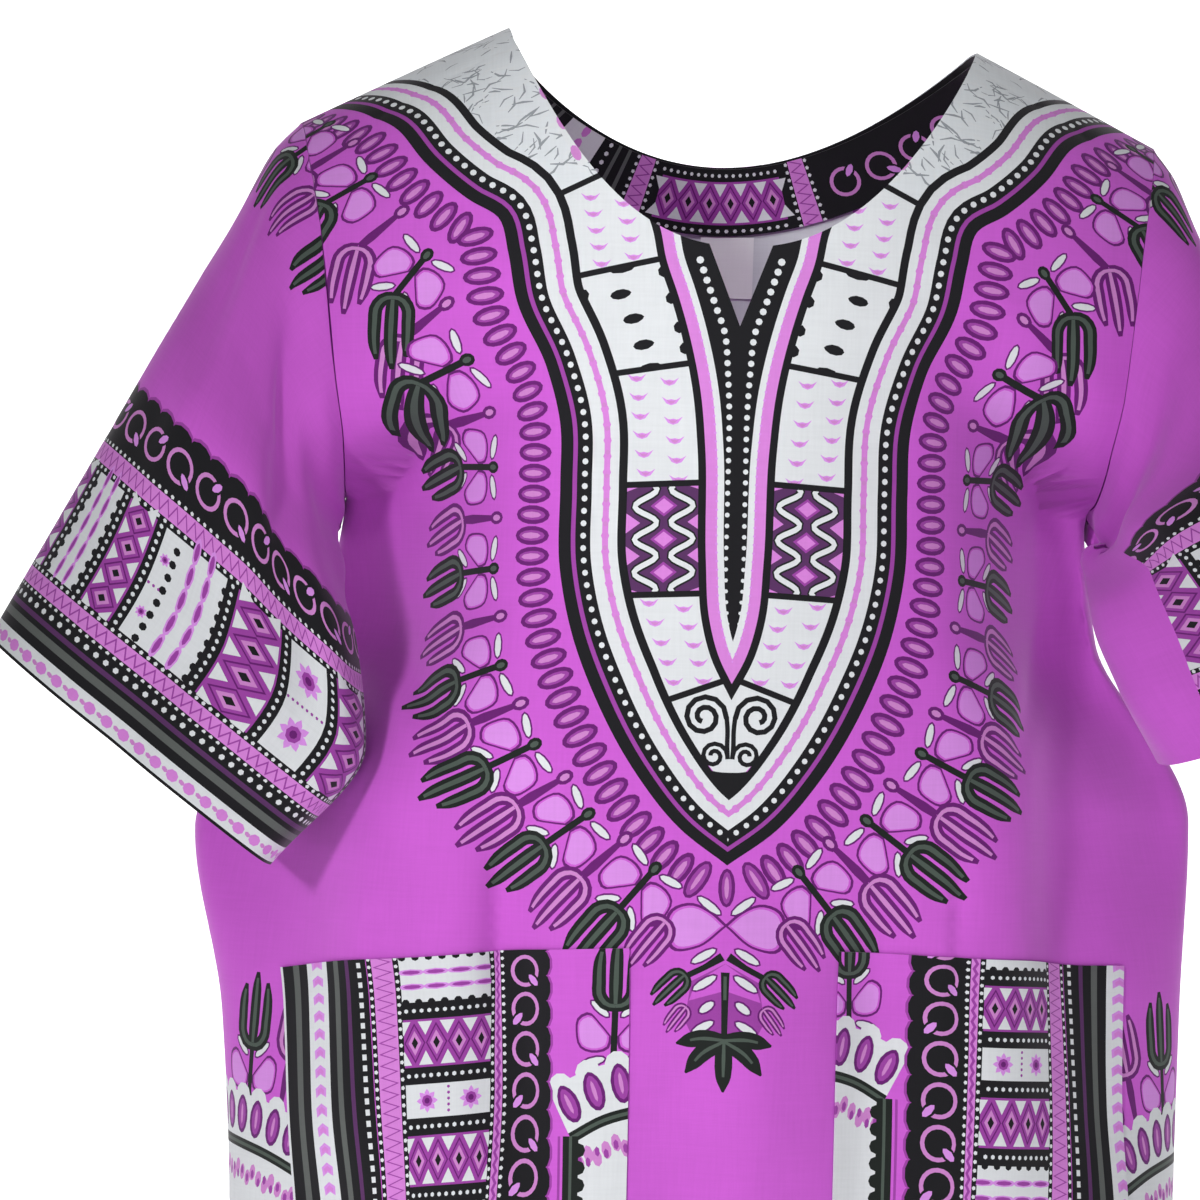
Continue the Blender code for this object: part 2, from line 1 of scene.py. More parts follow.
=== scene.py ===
"""Looks of the dashiki shirt: printed cotton shells on the CAD solids, drawn as vector prints in the
flat cloth and carried onto the worn shape.

Flat cloth of a body panel: u runs across from the centre line towards the wearer's left, and w runs
down from the high shoulder points. Flat cloth of a sleeve: a runs round it at the cuff, 0 at its outer
edge and negative towards the front, and v runs up from the cuff. Lengths in the tables are millimetres.
"""

import math

import bpy
import numpy as np
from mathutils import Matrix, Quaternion, Vector
from mathutils.geometry import delaunay_2d_cdt


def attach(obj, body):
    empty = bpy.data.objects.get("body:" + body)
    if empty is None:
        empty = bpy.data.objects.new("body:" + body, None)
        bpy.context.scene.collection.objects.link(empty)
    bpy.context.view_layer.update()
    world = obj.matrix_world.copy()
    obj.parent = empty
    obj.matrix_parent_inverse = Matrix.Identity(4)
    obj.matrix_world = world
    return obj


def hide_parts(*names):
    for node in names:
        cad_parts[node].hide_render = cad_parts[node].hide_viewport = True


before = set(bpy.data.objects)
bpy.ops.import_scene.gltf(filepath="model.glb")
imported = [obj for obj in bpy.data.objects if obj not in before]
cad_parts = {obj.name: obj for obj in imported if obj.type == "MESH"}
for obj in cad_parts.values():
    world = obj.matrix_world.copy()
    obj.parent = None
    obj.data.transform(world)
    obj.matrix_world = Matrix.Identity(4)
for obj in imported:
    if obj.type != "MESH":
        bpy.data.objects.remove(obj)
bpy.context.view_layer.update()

MM = 0.001

# ---------------------------------------------------------------- the worn shape, as in the CAD

WALL = 1.5
THIN_WALL = 1.0
SEAM_GAP = 0.3
ARMPIT_GAP = 1.2
ARMPIT_LEAN = 0.9
NECK_HALF_WIDTH = 127.0
NECK_SHIFT = 6.0
NECK_DROP = {"front": 118.5, "back": 59.0}
NECK_POWER = {"front": 0.44, "back": 0.5}
SLIT_HALF_WIDTH = 16.5
SLIT_BOTTOM = 160.0
SHOULDER_FALL = 0.46
RIDGE_ROUNDING = 1.6
TUCK_START = 0.3
SEAM_HALF_GAP = 0.75 * SEAM_GAP
SEAM_EDGE_POWER = 8
FOLD_EDGE_POWER = 12
POCKET_INNER_EDGE = {-1: 49.0, 1: 60.0}
POCKET_OUTER_EDGE = {-1: 228.0, 1: 219.0}
POCKET_TOP = 480.0
POCKET_HEIGHT = 196.0
FACING_DEPTH = 37.0
FACING_EASE = 1.2
FACING_START = 4.0
FACING_INSET = 0.6
LABEL_TOP = -(NECK_DROP["back"] + FACING_DEPTH + 1.2)
LABEL_WIDTH = 30.0
LABEL_HEIGHT = 34.0
LABEL_SHIFT = 7.0
SIDE_DROOP = {-1: 12.0, 1: -3.0}
# Rows of a body panel, from the shoulder line to the hem. A row runs from the centre line to the
# armhole or side seam. reach is the end's distance to each side (wearer's right, wearer's left),
# turn is the angle through which the row bends, and tuck is how far the cloth is pressed back
# between the arm and the side seam.
ROW_COLUMNS = ("centre_y", "centre_z", "reach_right", "reach_left", "end_y", "end_z", "turn", "tuck")
FRONT_ROWS = (
    (0.0, 57.0, 231.0, 231.0, 5.0, -50.0, 8.0, 0.0),
    (-38.0, 46.0, 226.0, 226.0, -27.0, -70.0, 14.0, 0.0),
    (-68.0, 14.0, 219.0, 219.0, -50.0, -104.0, 22.0, 0.0),
    (-88.0, -26.0, 213.0, 213.0, -63.0, -146.0, 32.0, 0.0),
    (-101.0, -72.0, 208.0, 208.0, -66.0, -188.0, 42.0, 0.0),
    (-110.0, -120.0, 203.0, 203.0, -50.0, -222.0, 58.0, 6.0),
    (-116.0, -166.0, 202.0, 202.0, -14.0, -243.0, 74.0, 20.0),
    (-119.0, -210.0, 202.0, 202.0, 26.0, -252.0, 88.0, 38.0),
    (-122.0, -290.0, 216.0, 212.0, 40.0, -322.0, 90.0, 52.0),
    (-124.0, -400.0, 279.0, 262.0, 22.0, -418.0, 90.0, 38.0),
    (-125.0, -500.0, 261.0, 256.0, 0.0, -516.0, 90.0, 10.0),
    (-126.0, -620.0, 254.0, 255.0, 0.0, -636.0, 90.0, 0.0),
    (-128.0, -745.0, 253.0, 256.0, 0.0, -760.0, 90.0, 0.0),
)
BACK_ROWS = (
    (0.0, 57.0, 231.0, 231.0, 5.0, -50.0, 8.0, 0.0),
    (37.0, 47.0, 232.0, 232.0, 38.0, -68.0, 14.0, 0.0),
    (65.0, 18.0, 229.0, 229.0, 62.0, -100.0, 22.0, 0.0),
    (83.0, -22.0, 222.0, 222.0, 76.0, -142.0, 32.0, 0.0),
    (95.0, -68.0, 216.0, 216.0, 80.0, -184.0, 42.0, 0.0),
    (102.0, -114.0, 209.0, 209.0, 74.0, -222.0, 58.0, 0.0),
    (107.0, -160.0, 204.0, 204.0, 54.0, -244.0, 74.0, 0.0),
    (109.0, -208.0, 202.0, 202.0, 26.0, -252.0, 88.0, 0.0),
    (109.0, -288.0, 216.0, 212.0, 40.0, -322.0, 90.0, 0.0),
    (108.0, -400.0, 279.0, 262.0, 22.0, -418.0, 90.0, 0.0),
    (108.0, -500.0, 261.0, 256.0, 0.0, -516.0, 90.0, 0.0),
    (110.0, -620.0, 254.0, 255.0, 0.0, -636.0, 90.0, 0.0),
    (113.0, -745.0, 253.0, 256.0, 0.0, -760.0, 90.0, 0.0),
)
UNDERARM_ROW = 7.0
UNDERARM_HEIGHT = FRONT_ROWS[int(UNDERARM_ROW)][5]
SIDE_SEAM_COLUMNS = ("reach_right", "reach_left", "end_y", "end_z")
LAST_ROW = float(len(FRONT_ROWS) - 1)

# Rings of a sleeve, from the armhole to the cuff: its outer and inner edge seen from the front, the
# middle's depth, half its own depth, and how far its underarm seam is turned towards the back.
RING_COLUMNS = ("place", "outer_x", "outer_z", "inner_x", "inner_z", "centre_y", "half_depth", "turn")
RIGHT_SLEEVE = (
    (0.00, 231.0, -50.0, 203.0, -252.0, 8.0, 70.0, 0.0),
    (0.12, 252.0, -76.0, 212.0, -262.0, 0.0, 68.0, 6.0),
    (0.30, 278.0, -130.0, 205.0, -292.0, -26.0, 62.0, 20.0),
    (0.50, 307.0, -187.0, 193.0, -330.0, -60.0, 54.0, 22.0),
    (0.75, 346.0, -260.0, 187.0, -383.0, -70.0, 51.0, 25.0),
    (1.00, 384.0, -330.0, 235.0, -445.0, -74.0, 52.0, 25.0),
)
LEFT_SLEEVE = (
    (0.00, 231.0, -50.0, 203.0, -252.0, 8.0, 70.0, 0.0),
    (0.12, 247.0, -82.0, 211.0, -258.0, -2.0, 71.0, 0.0),
    (0.30, 266.0, -132.0, 201.0, -276.0, -34.0, 72.0, 0.0),
    (0.50, 290.0, -188.0, 198.0, -304.0, -72.0, 74.0, -26.0),
    (0.75, 324.0, -258.0, 209.0, -340.0, -90.0, 78.0, -32.0),
    (1.00, 356.0, -326.0, 229.0, -380.0, -102.0, 80.0, -34.0),
)
SLEEVES = {-1: RIGHT_SLEEVE, 1: LEFT_SLEEVE}
ARMHOLE_BLEND = 0.32
SLEEVE_CLEARANCE = 3.5
CLEARANCE_START = 0.04
ARMPIT_PUFF = 9.0
PUFF_FULL = 0.05
PUFF_LENGTH = 0.3
SLEEVE_FOLD_FADE = 0.45

# Largest folds: soft ridges (height above 0) and troughs, each along a straight line on its panel
# seen from the front, x0, z0 to x1, z1, with half its width and its height.
FOLD_COLUMNS = ("x0", "z0", "x1", "z1", "half_width", "height")
FRONT_FOLDS = (
    (-168.0, -330.0, -178.0, -640.0, 24.0, 6.0),
    (-116.0, -400.0, -108.0, -640.0, 18.0, -5.0),
    (-52.0, -540.0, -46.0, -790.0, 22.0, 5.0),
    (22.0, -560.0, 26.0, -790.0, 20.0, -5.0),
    (84.0, -500.0, 92.0, -790.0, 22.0, 4.0),
    (142.0, -350.0, 150.0, -650.0, 24.0, 6.0),
    (190.0, -250.0, 184.0, -560.0, 20.0, -6.0),
    (-205.0, -560.0, -212.0, -790.0, 22.0, -6.0),
    (210.0, -560.0, 216.0, -790.0, 22.0, 6.0),
)
BACK_FOLDS = (
    (-150.0, -240.0, -168.0, -790.0, 26.0, 7.0),
    (-96.0, -330.0, -104.0, -790.0, 22.0, -6.0),
    (-38.0, -420.0, -34.0, -790.0, 24.0, 6.0),
    (24.0, -500.0, 30.0, -790.0, 20.0, -5.0),
    (82.0, -360.0, 92.0, -790.0, 24.0, 6.0),
    (140.0, -280.0, 154.0, -790.0, 22.0, -6.0),
    (196.0, -380.0, 206.0, -790.0, 24.0, 6.0),
    (-214.0, -420.0, -220.0, -790.0, 20.0, -5.0),
)
FOLD_FADE = 90.0

# Largest folds of a sleeve: the angle round the sleeve at the armhole and at the cuff, half the
# width as an angle, the height, and where it starts along the sleeve. 0 is the top, -90 the front.
SLEEVE_FOLD_COLUMNS = ("angle_0", "angle_1", "half_angle", "height", "start")
SLEEVE_FOLDS = {
    -1: ((-62.0, -58.0, 15.0, -9.0, 0.30), (-112.0, -118.0, 18.0, 5.0, 0.25),
         (60.0, 70.0, 18.0, -7.0, 0.25), (118.0, 122.0, 18.0, 5.0, 0.3)),
    1: ((-128.0, -104.0, 15.0, 9.0, 0.15), (-92.0, -70.0, 15.0, -9.0, 0.2),
        (60.0, 70.0, 18.0, -7.0, 0.25), (118.0, 122.0, 18.0, 5.0, 0.3)),
}

SMALL_STEP = 0.003
DENSE = 481
HALVINGS = 40


def ease(x):
    """Smooth step from 0 to 1."""
    x = np.clip(x, 0.0, 1.0)
    return x * x * (3.0 - 2.0 * x)


def unit(vectors):
    return vectors / np.linalg.norm(vectors, axis=-1, keepdims=True)


def cubic(f, step, start, start_slope, end, end_slope):
    """Curve at a fraction f of a step, from its two ends and its slopes there."""
    a, b = (1 + 2 * f) * (1 - f) ** 2, f * (1 - f) ** 2
    c, d = f * f * (3 - 2 * f), f * f * (f - 1)
    return a * start + b * step * start_slope + c * end + d * step * end_slope


def smooth_through(xs, ys, at):
    """Cubic curve through the points that never overshoots between them."""
    xs, ys = np.asarray(xs, float), np.asarray(ys, float)
    step = np.diff(xs)
    slope = np.diff(ys) / step
    tangent = np.zeros_like(ys)
    rising = slope[:-1] * slope[1:] > 0.0
    harmonic = 2.0 * slope[:-1] * slope[1:] / np.where(rising, slope[:-1] + slope[1:], 1.0)
    tangent[1:-1] = np.where(rising, harmonic, 0.0)
    tangent[0], tangent[-1] = slope[0], slope[-1]
    k = np.clip(np.searchsorted(xs, at, side="right") - 1, 0, len(step) - 1)
    return cubic((at - xs[k]) / step[k], step[k], ys[k], tangent[k], ys[k + 1], tangent[k + 1])


def dense_table(rows, columns, places):
    """Each column of a table as a smooth curve, sampled at many places."""
    at = np.linspace(places[0], places[-1], DENSE)
    curves = {name: smooth_through(places, [row[i] for row in rows], at) for i, name in enumerate(columns)}
    curves["at"] = at
    return curves


def value(curves, name, at):
    return np.interp(at, curves["at"], curves[name])


ROW_PLACES = [float(i) for i in range(len(FRONT_ROWS))]
FRONT_CURVES = dense_table(FRONT_ROWS, ROW_COLUMNS, ROW_PLACES)
BACK_CURVES = dense_table(BACK_ROWS, ROW_COLUMNS, ROW_PLACES)
PANELS = {
    "front": {"rows": FRONT_CURVES, "folds": FRONT_FOLDS, "out": -1.0},
    "back": {"rows": BACK_CURVES, "folds": BACK_FOLDS, "out": 1.0},
}

BELOW_ARM = FRONT_CURVES["at"] >= UNDERARM_ROW
for seam_column in SIDE_SEAM_COLUMNS:
    BACK_CURVES[seam_column][BELOW_ARM] = FRONT_CURVES[seam_column][BELOW_ARM]


def turn_and_reach(rows, side, r):
    """Angle through which a row of a panel bends, and how far it reaches to a side."""
    reach = np.where(side < 0.0, value(rows, "reach_right", r), value(rows, "reach_left", r))
    return np.radians(value(rows, "turn", r)), reach


def plain_body(panel, s, r):
    """Point of a body panel without folds. s runs from -1 to 1 across, r from 0 to the last row."""
    rows = PANELS[panel]["rows"]
    across = np.abs(s)
    turn, reach = turn_and_reach(rows, s, r)
    x = reach * np.sin(across * turn) / np.sin(turn)
    centre_y, end_y = value(rows, "centre_y", r), value(rows, "end_y", r)
    y = centre_y + (end_y - centre_y) * (1.0 - np.cos(across * turn)) / (1.0 - np.cos(turn))
    hollow = np.sin(np.pi * np.clip((across - TUCK_START) / (1.0 - TUCK_START), 0.0, 1.0)) ** 2
    y = y + value(rows, "tuck", r) * hollow
    level = np.where(r < 1.0, np.abs(r) ** RIDGE_ROUNDING, r)
    centre_z, end_z = value(rows, "centre_z", level), value(rows, "end_z", level)
    sag_power = 1.0 + np.degrees(turn) / 90.0
    z = centre_z + (end_z - centre_z) * (x / reach) ** sag_power
    droop = np.where(s < 0.0, SIDE_DROOP[-1], SIDE_DROOP[1])
    z = z - droop * (x / reach) ** 2 * ease((r - UNDERARM_ROW) / 2.0)
    apart = across ** SEAM_EDGE_POWER + np.clip(1.0 - r, 0.0, 1.0)
    y = y + PANELS[panel]["out"] * SEAM_HALF_GAP * apart
    return np.stack([np.sign(s) * x, y, z], axis=-1)


def fold_height(folds, x, z):
    """Height of all the folds of a panel at a place seen from the front."""
    total = np.zeros_like(x)
    for row in folds:
        fold = dict(zip(FOLD_COLUMNS, row))
        dx, dz = fold["x1"] - fold["x0"], fold["z1"] - fold["z0"]
        length = math.hypot(dx, dz)
        along = ((x - fold["x0"]) * dx + (z - fold["z0"]) * dz) / length
        aside = ((x - fold["x0"]) * dz - (z - fold["z0"]) * dx) / length
        fade = ease(along / FOLD_FADE) * ease((length - along) / FOLD_FADE)
        total = total + fold["height"] * np.exp(-(aside / fold["half_width"]) ** 2) * fade
    return total


def just_beside(at, low, high):
    """A little less and a little more than a value, within its limits."""
    return np.clip(at - SMALL_STEP, low, high), np.clip(at + SMALL_STEP, low, high)


def body_frame(panel, s, r):
    """Point of a body panel with its folds, and the way out of the cloth there."""
    s, r = np.broadcast_arrays(np.asarray(s, float), np.asarray(r, float))
    base = plain_body(panel, s, r)
    low_s, high_s = just_beside(s, -1.0, 1.0)
    low_r, high_r = just_beside(r, 0.0, LAST_ROW)
    across = plain_body(panel, high_s, r) - plain_body(panel, low_s, r)
    down = plain_body(panel, s, high_r) - plain_body(panel, s, low_r)
    normal = unit(np.cross(across, down) * PANELS[panel]["out"])
    height = fold_height(PANELS[panel]["folds"], base[..., 0], base[..., 2])
    height = height * (1.0 - np.abs(s) ** FOLD_EDGE_POWER)
    return base + normal * height[..., None], normal


def body_wall(panel, s, r, lift=0.0, wall=WALL):
    """Outer and inner points of cloth that lies on a body panel, or of the panel itself."""
    point, normal = body_frame(panel, s, r)
    return point + normal * lift, point + normal * (lift - wall)


def place(panel, x, z):
    """(s, r) of the point of a body panel that lies at x, z seen from the front."""
    x, z = np.broadcast_arrays(np.asarray(x, float), np.asarray(z, float))
    rows = PANELS[panel]["rows"]
    side = np.where(x < 0.0, -1.0, 1.0)
    low, high = np.zeros_like(x), np.full_like(x, LAST_ROW)

    def across(r):
        turn, reach = turn_and_reach(rows, side, r)
        return side * np.arcsin(np.clip(np.abs(x) / reach * np.sin(turn), 0.0, np.sin(turn))) / turn

    for _ in range(HALVINGS):
        middle = (low + high) / 2.0
        above = plain_body(panel, across(middle), middle)[..., 2] > z
        low, high = np.where(above, middle, low), np.where(above, high, middle)
    return across(low), low


def row_at(centre_z):
    """Row of the front whose centre lies at a height."""
    return float(np.interp(-centre_z, -FRONT_CURVES["centre_z"], FRONT_CURVES["at"]))


POCKET_ROWS = (row_at(-POCKET_TOP), row_at(-POCKET_TOP - POCKET_HEIGHT))


def pocket_reach(side, x):
    """How far across (s) an edge of a pocket lies, at the row of its top."""
    reach = value(FRONT_CURVES, "reach_right" if side < 0 else "reach_left", POCKET_ROWS[0])
    return math.asin(x / reach) / (math.pi / 2.0)


def armhole(side, angle):
    """Armhole at an angle round it, 0 at the shoulder and 180 under the arm: the point where the
    sleeve starts, and the way out of the cloth."""
    frames = []
    for panel, turning in (("front", 1.0), ("back", -1.0)):
        r = UNDERARM_ROW * np.abs(angle) / 180.0
        ends = np.full_like(r, float(side))
        point, normal = body_frame(panel, ends, r)
        before, after = just_beside(r, 0.0, LAST_ROW)
        along = plain_body(panel, ends, after) - plain_body(panel, ends, before)
        away = unit(np.cross(normal, along)) * side * turning
        low = ((np.abs(angle) / 180.0) ** 4)[..., None]
        start = point + away * (SEAM_GAP + ARMPIT_GAP * low)
        frames.append((start, unit(normal - away * low * ARMPIT_LEAN)))
    in_front = (angle <= 0.0)[..., None]
    return tuple(np.where(in_front, *pair) for pair in zip(*frames))


def sleeve_point(side, angle, t):
    """Point of a sleeve at an angle round it, t from the armhole to the cuff."""
    rings = SLEEVE_CURVES[side]
    ring = {name: value(rings, name, t) for name in RING_COLUMNS}
    zero = {name: value(rings, name, 0.0) for name in RING_COLUMNS}
    outer = np.stack([side * ring["outer_x"], ring["centre_y"], ring["outer_z"]], axis=-1)
    inner = np.stack([side * ring["inner_x"], ring["centre_y"], ring["inner_z"]], axis=-1)
    start_x = side * (zero["outer_x"] + zero["inner_x"]) / 2.0
    start = np.array([start_x, zero["centre_y"], (zero["outer_z"] + zero["inner_z"]) / 2.0])
    centre = (outer + inner) / 2.0
    turned = np.radians(angle - ring["turn"])
    bulge = np.zeros_like(turned)
    for row in SLEEVE_FOLDS[side]:
        fold = dict(zip(SLEEVE_FOLD_COLUMNS, row))
        middle = fold["angle_0"] + (fold["angle_1"] - fold["angle_0"]) * t
        ridge = fold["height"] * np.exp(-((angle - middle) / fold["half_angle"]) ** 2)
        bulge = bulge + ridge * ease((t - fold["start"]) / SLEEVE_FOLD_FADE)
    half = (outer - inner) / 2.0
    depth = np.zeros_like(half)
    depth[..., 1] = ring["half_depth"]
    grow = (1.0 + bulge / ring["half_depth"])[..., None]
    ellipse = half * np.cos(turned)[..., None] + depth * np.sin(turned)[..., None]
    round_point = centre + ellipse * grow
    hole, way_out = armhole(side, angle)
    mix = ease(t / ARMHOLE_BLEND)[..., None]
    point = (hole + centre - start) * (1.0 - mix) + round_point * mix
    puff = ARMPIT_PUFF * (np.abs(angle) / 180.0) ** 3
    puff = puff * ease(t / PUFF_FULL) * (1.0 - ease((t - PUFF_FULL) / PUFF_LENGTH))
    point = point + way_out * puff[..., None]
    # Where the sleeve hangs before the body it lies just in front of it.
    front, _ = body_frame("front", *place("front", point[..., 0], point[..., 2]))
    before = np.abs(point[..., 0]) < np.abs(front[..., 0]) + 0.5
    before &= (angle < 0.0) | (point[..., 2] < UNDERARM_HEIGHT)
    clear = SLEEVE_CLEARANCE * ease(t / CLEARANCE_START)
    pushed = np.minimum(point[..., 1], front[..., 1] - clear)
    point[..., 1] = np.where(before & (t > 0.0), pushed, point[..., 1])
    return point


SLEEVE_CURVES = {
    side: dense_table(rows, RING_COLUMNS, [row[0] for row in rows]) for side, rows in SLEEVES.items()
}

# Smaller creases of a panel, seen from the front: start, end, bow, half their width, and height. A
# crease fades in and out over a part of its length, and a long one over this length at most.
CREASE_FADE, LONGEST_FADE = 0.38, 90.0
CREASES = {
    "front": (
        (-180.0, -385.0, -188.0, -660.0, 5.0, 24.0, 7.0),
        (-116.0, -360.0, -106.0, -640.0, 0.0, 20.0, -11.0),
        (-121.0, -415.0, -119.0, -545.0, 0.0, 5.0, -3.4),
        (123.0, -395.0, 122.0, -545.0, 0.0, 5.0, -3.4),
        (14.0, -440.0, 20.0, -930.0, 4.0, 26.0, 11.0),
        (80.0, -420.0, 88.0, -930.0, 0.0, 24.0, -15.0),
        (192.0, -230.0, 200.0, -620.0, 6.0, 26.0, -6.0),
        (176.0, -110.0, 192.0, -330.0, 6.0, 12.0, -5.0),
        (-190.0, -262.0, -120.0, -420.0, 10.0, 9.0, -3.0),
        (196.0, -262.0, 140.0, -400.0, -10.0, 9.0, -3.0),
        (-214.0, -300.0, -150.0, -380.0, 8.0, 10.0, 2.6),
        (-12.0, -600.0, -16.0, -800.0, -4.0, 7.0, 1.4),
        (60.0, -590.0, 66.0, -800.0, 5.0, 7.0, -1.6),
        (-150.0, -560.0, -160.0, -790.0, 5.0, 9.0, -2.4),
    ),
    "back": (
        (-190.0, -262.0, -120.0, -440.0, 10.0, 9.0, -3.0),
        (196.0, -262.0, 130.0, -430.0, -10.0, 9.0, -3.0),
        (-70.0, -560.0, -62.0, -800.0, 4.0, 7.0, -2.2),
        (50.0, -600.0, 58.0, -800.0, -4.0, 8.0, 2.0),
        (-20.0, -180.0, -40.0, -420.0, 12.0, 24.0, 3.0),
        (90.0, -420.0, 84.0, -790.0, -6.0, 24.0, -4.0),
    ),
}

# Smaller creases of a sleeve: angle at the armhole and the cuff, half the width, start, end, height.
SLEEVE_CREASES = {
    -1: (
        (-84.0, -88.0, 17.0, -0.1, 0.85, -9.0),
        (-160.0, -156.0, 24.0, -0.02, 0.4, 7.0),
        (172.0, 170.0, 22.0, -0.03, 0.3, 6.0),
        (-42.0, -36.0, 18.0, 0.0, 0.9, 4.0),
        (-96.0, -104.0, 8.0, 0.3, 1.1, -3.0),
        (-40.0, -24.0, 9.0, 0.12, 0.75, 3.0),
        (-20.0, -44.0, 8.0, 0.05, 0.5, -2.4),
        (-78.0, -70.0, 10.0, 0.1, 0.6, 2.6),
        (96.0, 92.0, 8.0, 0.3, 1.05, -2.6),
    ),
    1: (
        (-128.0, -138.0, 15.0, 0.0, 1.3, 8.0),
        (168.0, 166.0, 26.0, -0.02, 0.4, 6.0),
        (168.0, 166.0, 24.0, 0.1, 1.15, 8.0),
        (-60.0, -52.0, 8.0, 0.15, 0.85, -2.8),
        (-118.0, -112.0, 8.0, 0.3, 0.95, 2.4),
        (-30.0, -40.0, 9.0, 0.1, 0.7, 2.6),
        (92.0, 96.0, 8.0, 0.3, 1.05, -2.6),
    ),
}

# ---------------------------------------------------------------- the neck's cut, as in the CAD


def neck_half_width(depth, side, drop, power):
    """Half the neck's width at a depth below the high shoulder points."""
    part = np.clip(depth / drop, 0.0, 1.0)
    return NECK_HALF_WIDTH * (1.0 - part) ** power + side * NECK_SHIFT * (1.0 - part)


def neck_start(panel, side):
    """How far across (s) the neck's edge lies on the shoulder line."""
    half = NECK_HALF_WIDTH + side * NECK_SHIFT
    turn = math.radians(float(value(PANELS[panel]["rows"], "turn", 0.0)))
    reach = float(value(PANELS[panel]["rows"], "reach_right", 0.0))
    return math.asin(half / reach * math.sin(turn)) / turn


# ---------------------------------------------------------------- surfaces and flat cloth


def running(steps):
    """Sum of the steps before each point."""
    return np.concatenate([[0.0], np.cumsum(steps)])


def run_along(line):
    """Distance along a flat line to each of its points."""
    return running(np.hypot(*np.diff(line, axis=0).T))


def point_at(line, run, at):
    """Point of a flat line at a distance along it."""
    return np.array([np.interp(at, run, line[:, k]) for k in (0, 1)])


def between(places, at):
    """The place before each value and the fraction of the way to the next."""
    k = np.clip(np.searchsorted(places, at, side="right") - 1, 0, len(places) - 2)
    return k, np.clip((at - places[k]) / (places[k + 1] - places[k]), 0.0, 1.0)


def sample(grid, rows, columns, row, column):
    """Values of a grid at any places within it."""
    i, f = between(rows, row)
    j, g = between(columns, column)
    if grid.ndim > 2:
        f, g = f[:, None], g[:, None]
    upper = grid[i, j] * (1 - g) + grid[i, j + 1] * g
    lower = grid[i + 1, j] * (1 - g) + grid[i + 1, j + 1] * g
    return upper * (1 - f) + lower * f


class Surface:
    """Printed side of a piece: points and normals on a dense grid of places on the cloth."""

    def __init__(self, rows, columns, points, out):
        self.rows, self.columns, self.points = rows, columns, points
        across = np.gradient(points, columns, axis=1)
        along = np.gradient(points, rows, axis=0)
        self.normals = unit(np.cross(across, along) * out)

    def at(self, row, column):
        point = sample(self.points, self.rows, self.columns, row, column)
        return point, unit(sample(self.normals, self.rows, self.columns, row, column))


def crease_height(creases, x, z):
    """Height of the smaller creases of a panel, each bowed a little between its ends."""
    total = np.zeros_like(x)
    for x0, z0, x1, z1, bow, half_width, height in creases:
        dx, dz = x1 - x0, z1 - z0
        length = math.hypot(dx, dz)
        along = ((x - x0) * dx + (z - z0) * dz) / length / length
        aside = ((x - x0) * dz - (z - z0) * dx) / length
        on_line = np.clip(along, 0.0, 1.0)
        bend = bow * 4.0 * on_line * (1.0 - on_line)
        part = min(CREASE_FADE, LONGEST_FADE / length)
        fade = ease(along / part) * ease((1.0 - along) / part)
        total = total + height * np.exp(-(((aside - bend) / half_width) ** 2)) * fade
    return total


BODY_ROWS = np.linspace(0.0, LAST_ROW, 721)
BODY_COLUMNS = np.linspace(-1.0, 1.0, 481)
# The flat cloth is mapped a little past its edges, so that shapes cut there keep their form.
WIDE_COLUMNS = np.linspace(-1.1, 1.1, 529)
FLAT_STEP = 2.0
FLAT_ACROSS, FLAT_DOWN, SLEEVE_FLAT_UP = (-420.0, 421.0), (-90.0, 901.0), (-4.0, 372.0)


def body_surface(panel):
    s, r = np.meshgrid(BODY_COLUMNS, BODY_ROWS)
    points, normals = body_frame(panel, s, r)
    height = crease_height(CREASES[panel], points[..., 0], points[..., 2])
    height = height * (1.0 - np.abs(s) ** FOLD_EDGE_POWER)
    return Surface(BODY_ROWS, BODY_COLUMNS, points + normals * height[..., None], PANELS[panel]["out"])


class BodyFlat:
    """Flat cloth (u, w) of a body panel, to and from its places (r, s)."""

    def __init__(self, panel):
        s, r = np.meshgrid(WIDE_COLUMNS, BODY_ROWS)
        base = plain_body(panel, s, r)
        steps = np.hypot(np.diff(base[..., 0], axis=1), np.diff(base[..., 1], axis=1))
        u = np.concatenate([np.zeros((len(BODY_ROWS), 1)), np.cumsum(steps, axis=1)], axis=1)
        middle = len(WIDE_COLUMNS) // 2
        self.u = u - u[:, middle : middle + 1]
        centre = base[:, middle]
        down = run_along(centre[:, 1:])
        self.w = down[:, None] + centre[:, 2:3] - base[..., 2] - FRONT_ROWS[0][1]
        self.flat_u = np.arange(*FLAT_ACROSS, FLAT_STEP)
        self.flat_w = np.arange(*FLAT_DOWN, FLAT_STEP)
        s_at = np.array([np.interp(self.flat_u, row, WIDE_COLUMNS) for row in self.u])
        w_at = np.array([np.interp(self.flat_u, u_row, w_row) for u_row, w_row in zip(self.u, self.w)])
        self.r_grid = np.stack([np.interp(self.flat_w, column, BODY_ROWS) for column in w_at.T], axis=1)
        self.s_grid = np.stack(
            [np.interp(r_column, BODY_ROWS, s_column) for r_column, s_column in zip(self.r_grid.T, s_at.T)],
            axis=1,
        )

    def flat(self, places):
        r, s = np.asarray(places, float).T
        u = sample(self.u, BODY_ROWS, WIDE_COLUMNS, r, s)
        return np.stack([u, sample(self.w, BODY_ROWS, WIDE_COLUMNS, r, s)], axis=1)

    def places(self, flat):
        u, w = flat.T
        r = sample(self.r_grid, self.flat_w, self.flat_u, w, u)
        s = sample(self.s_grid, self.flat_w, self.flat_u, w, u)
        return np.stack([r, np.clip(s, -1.0, 1.0)], axis=1)


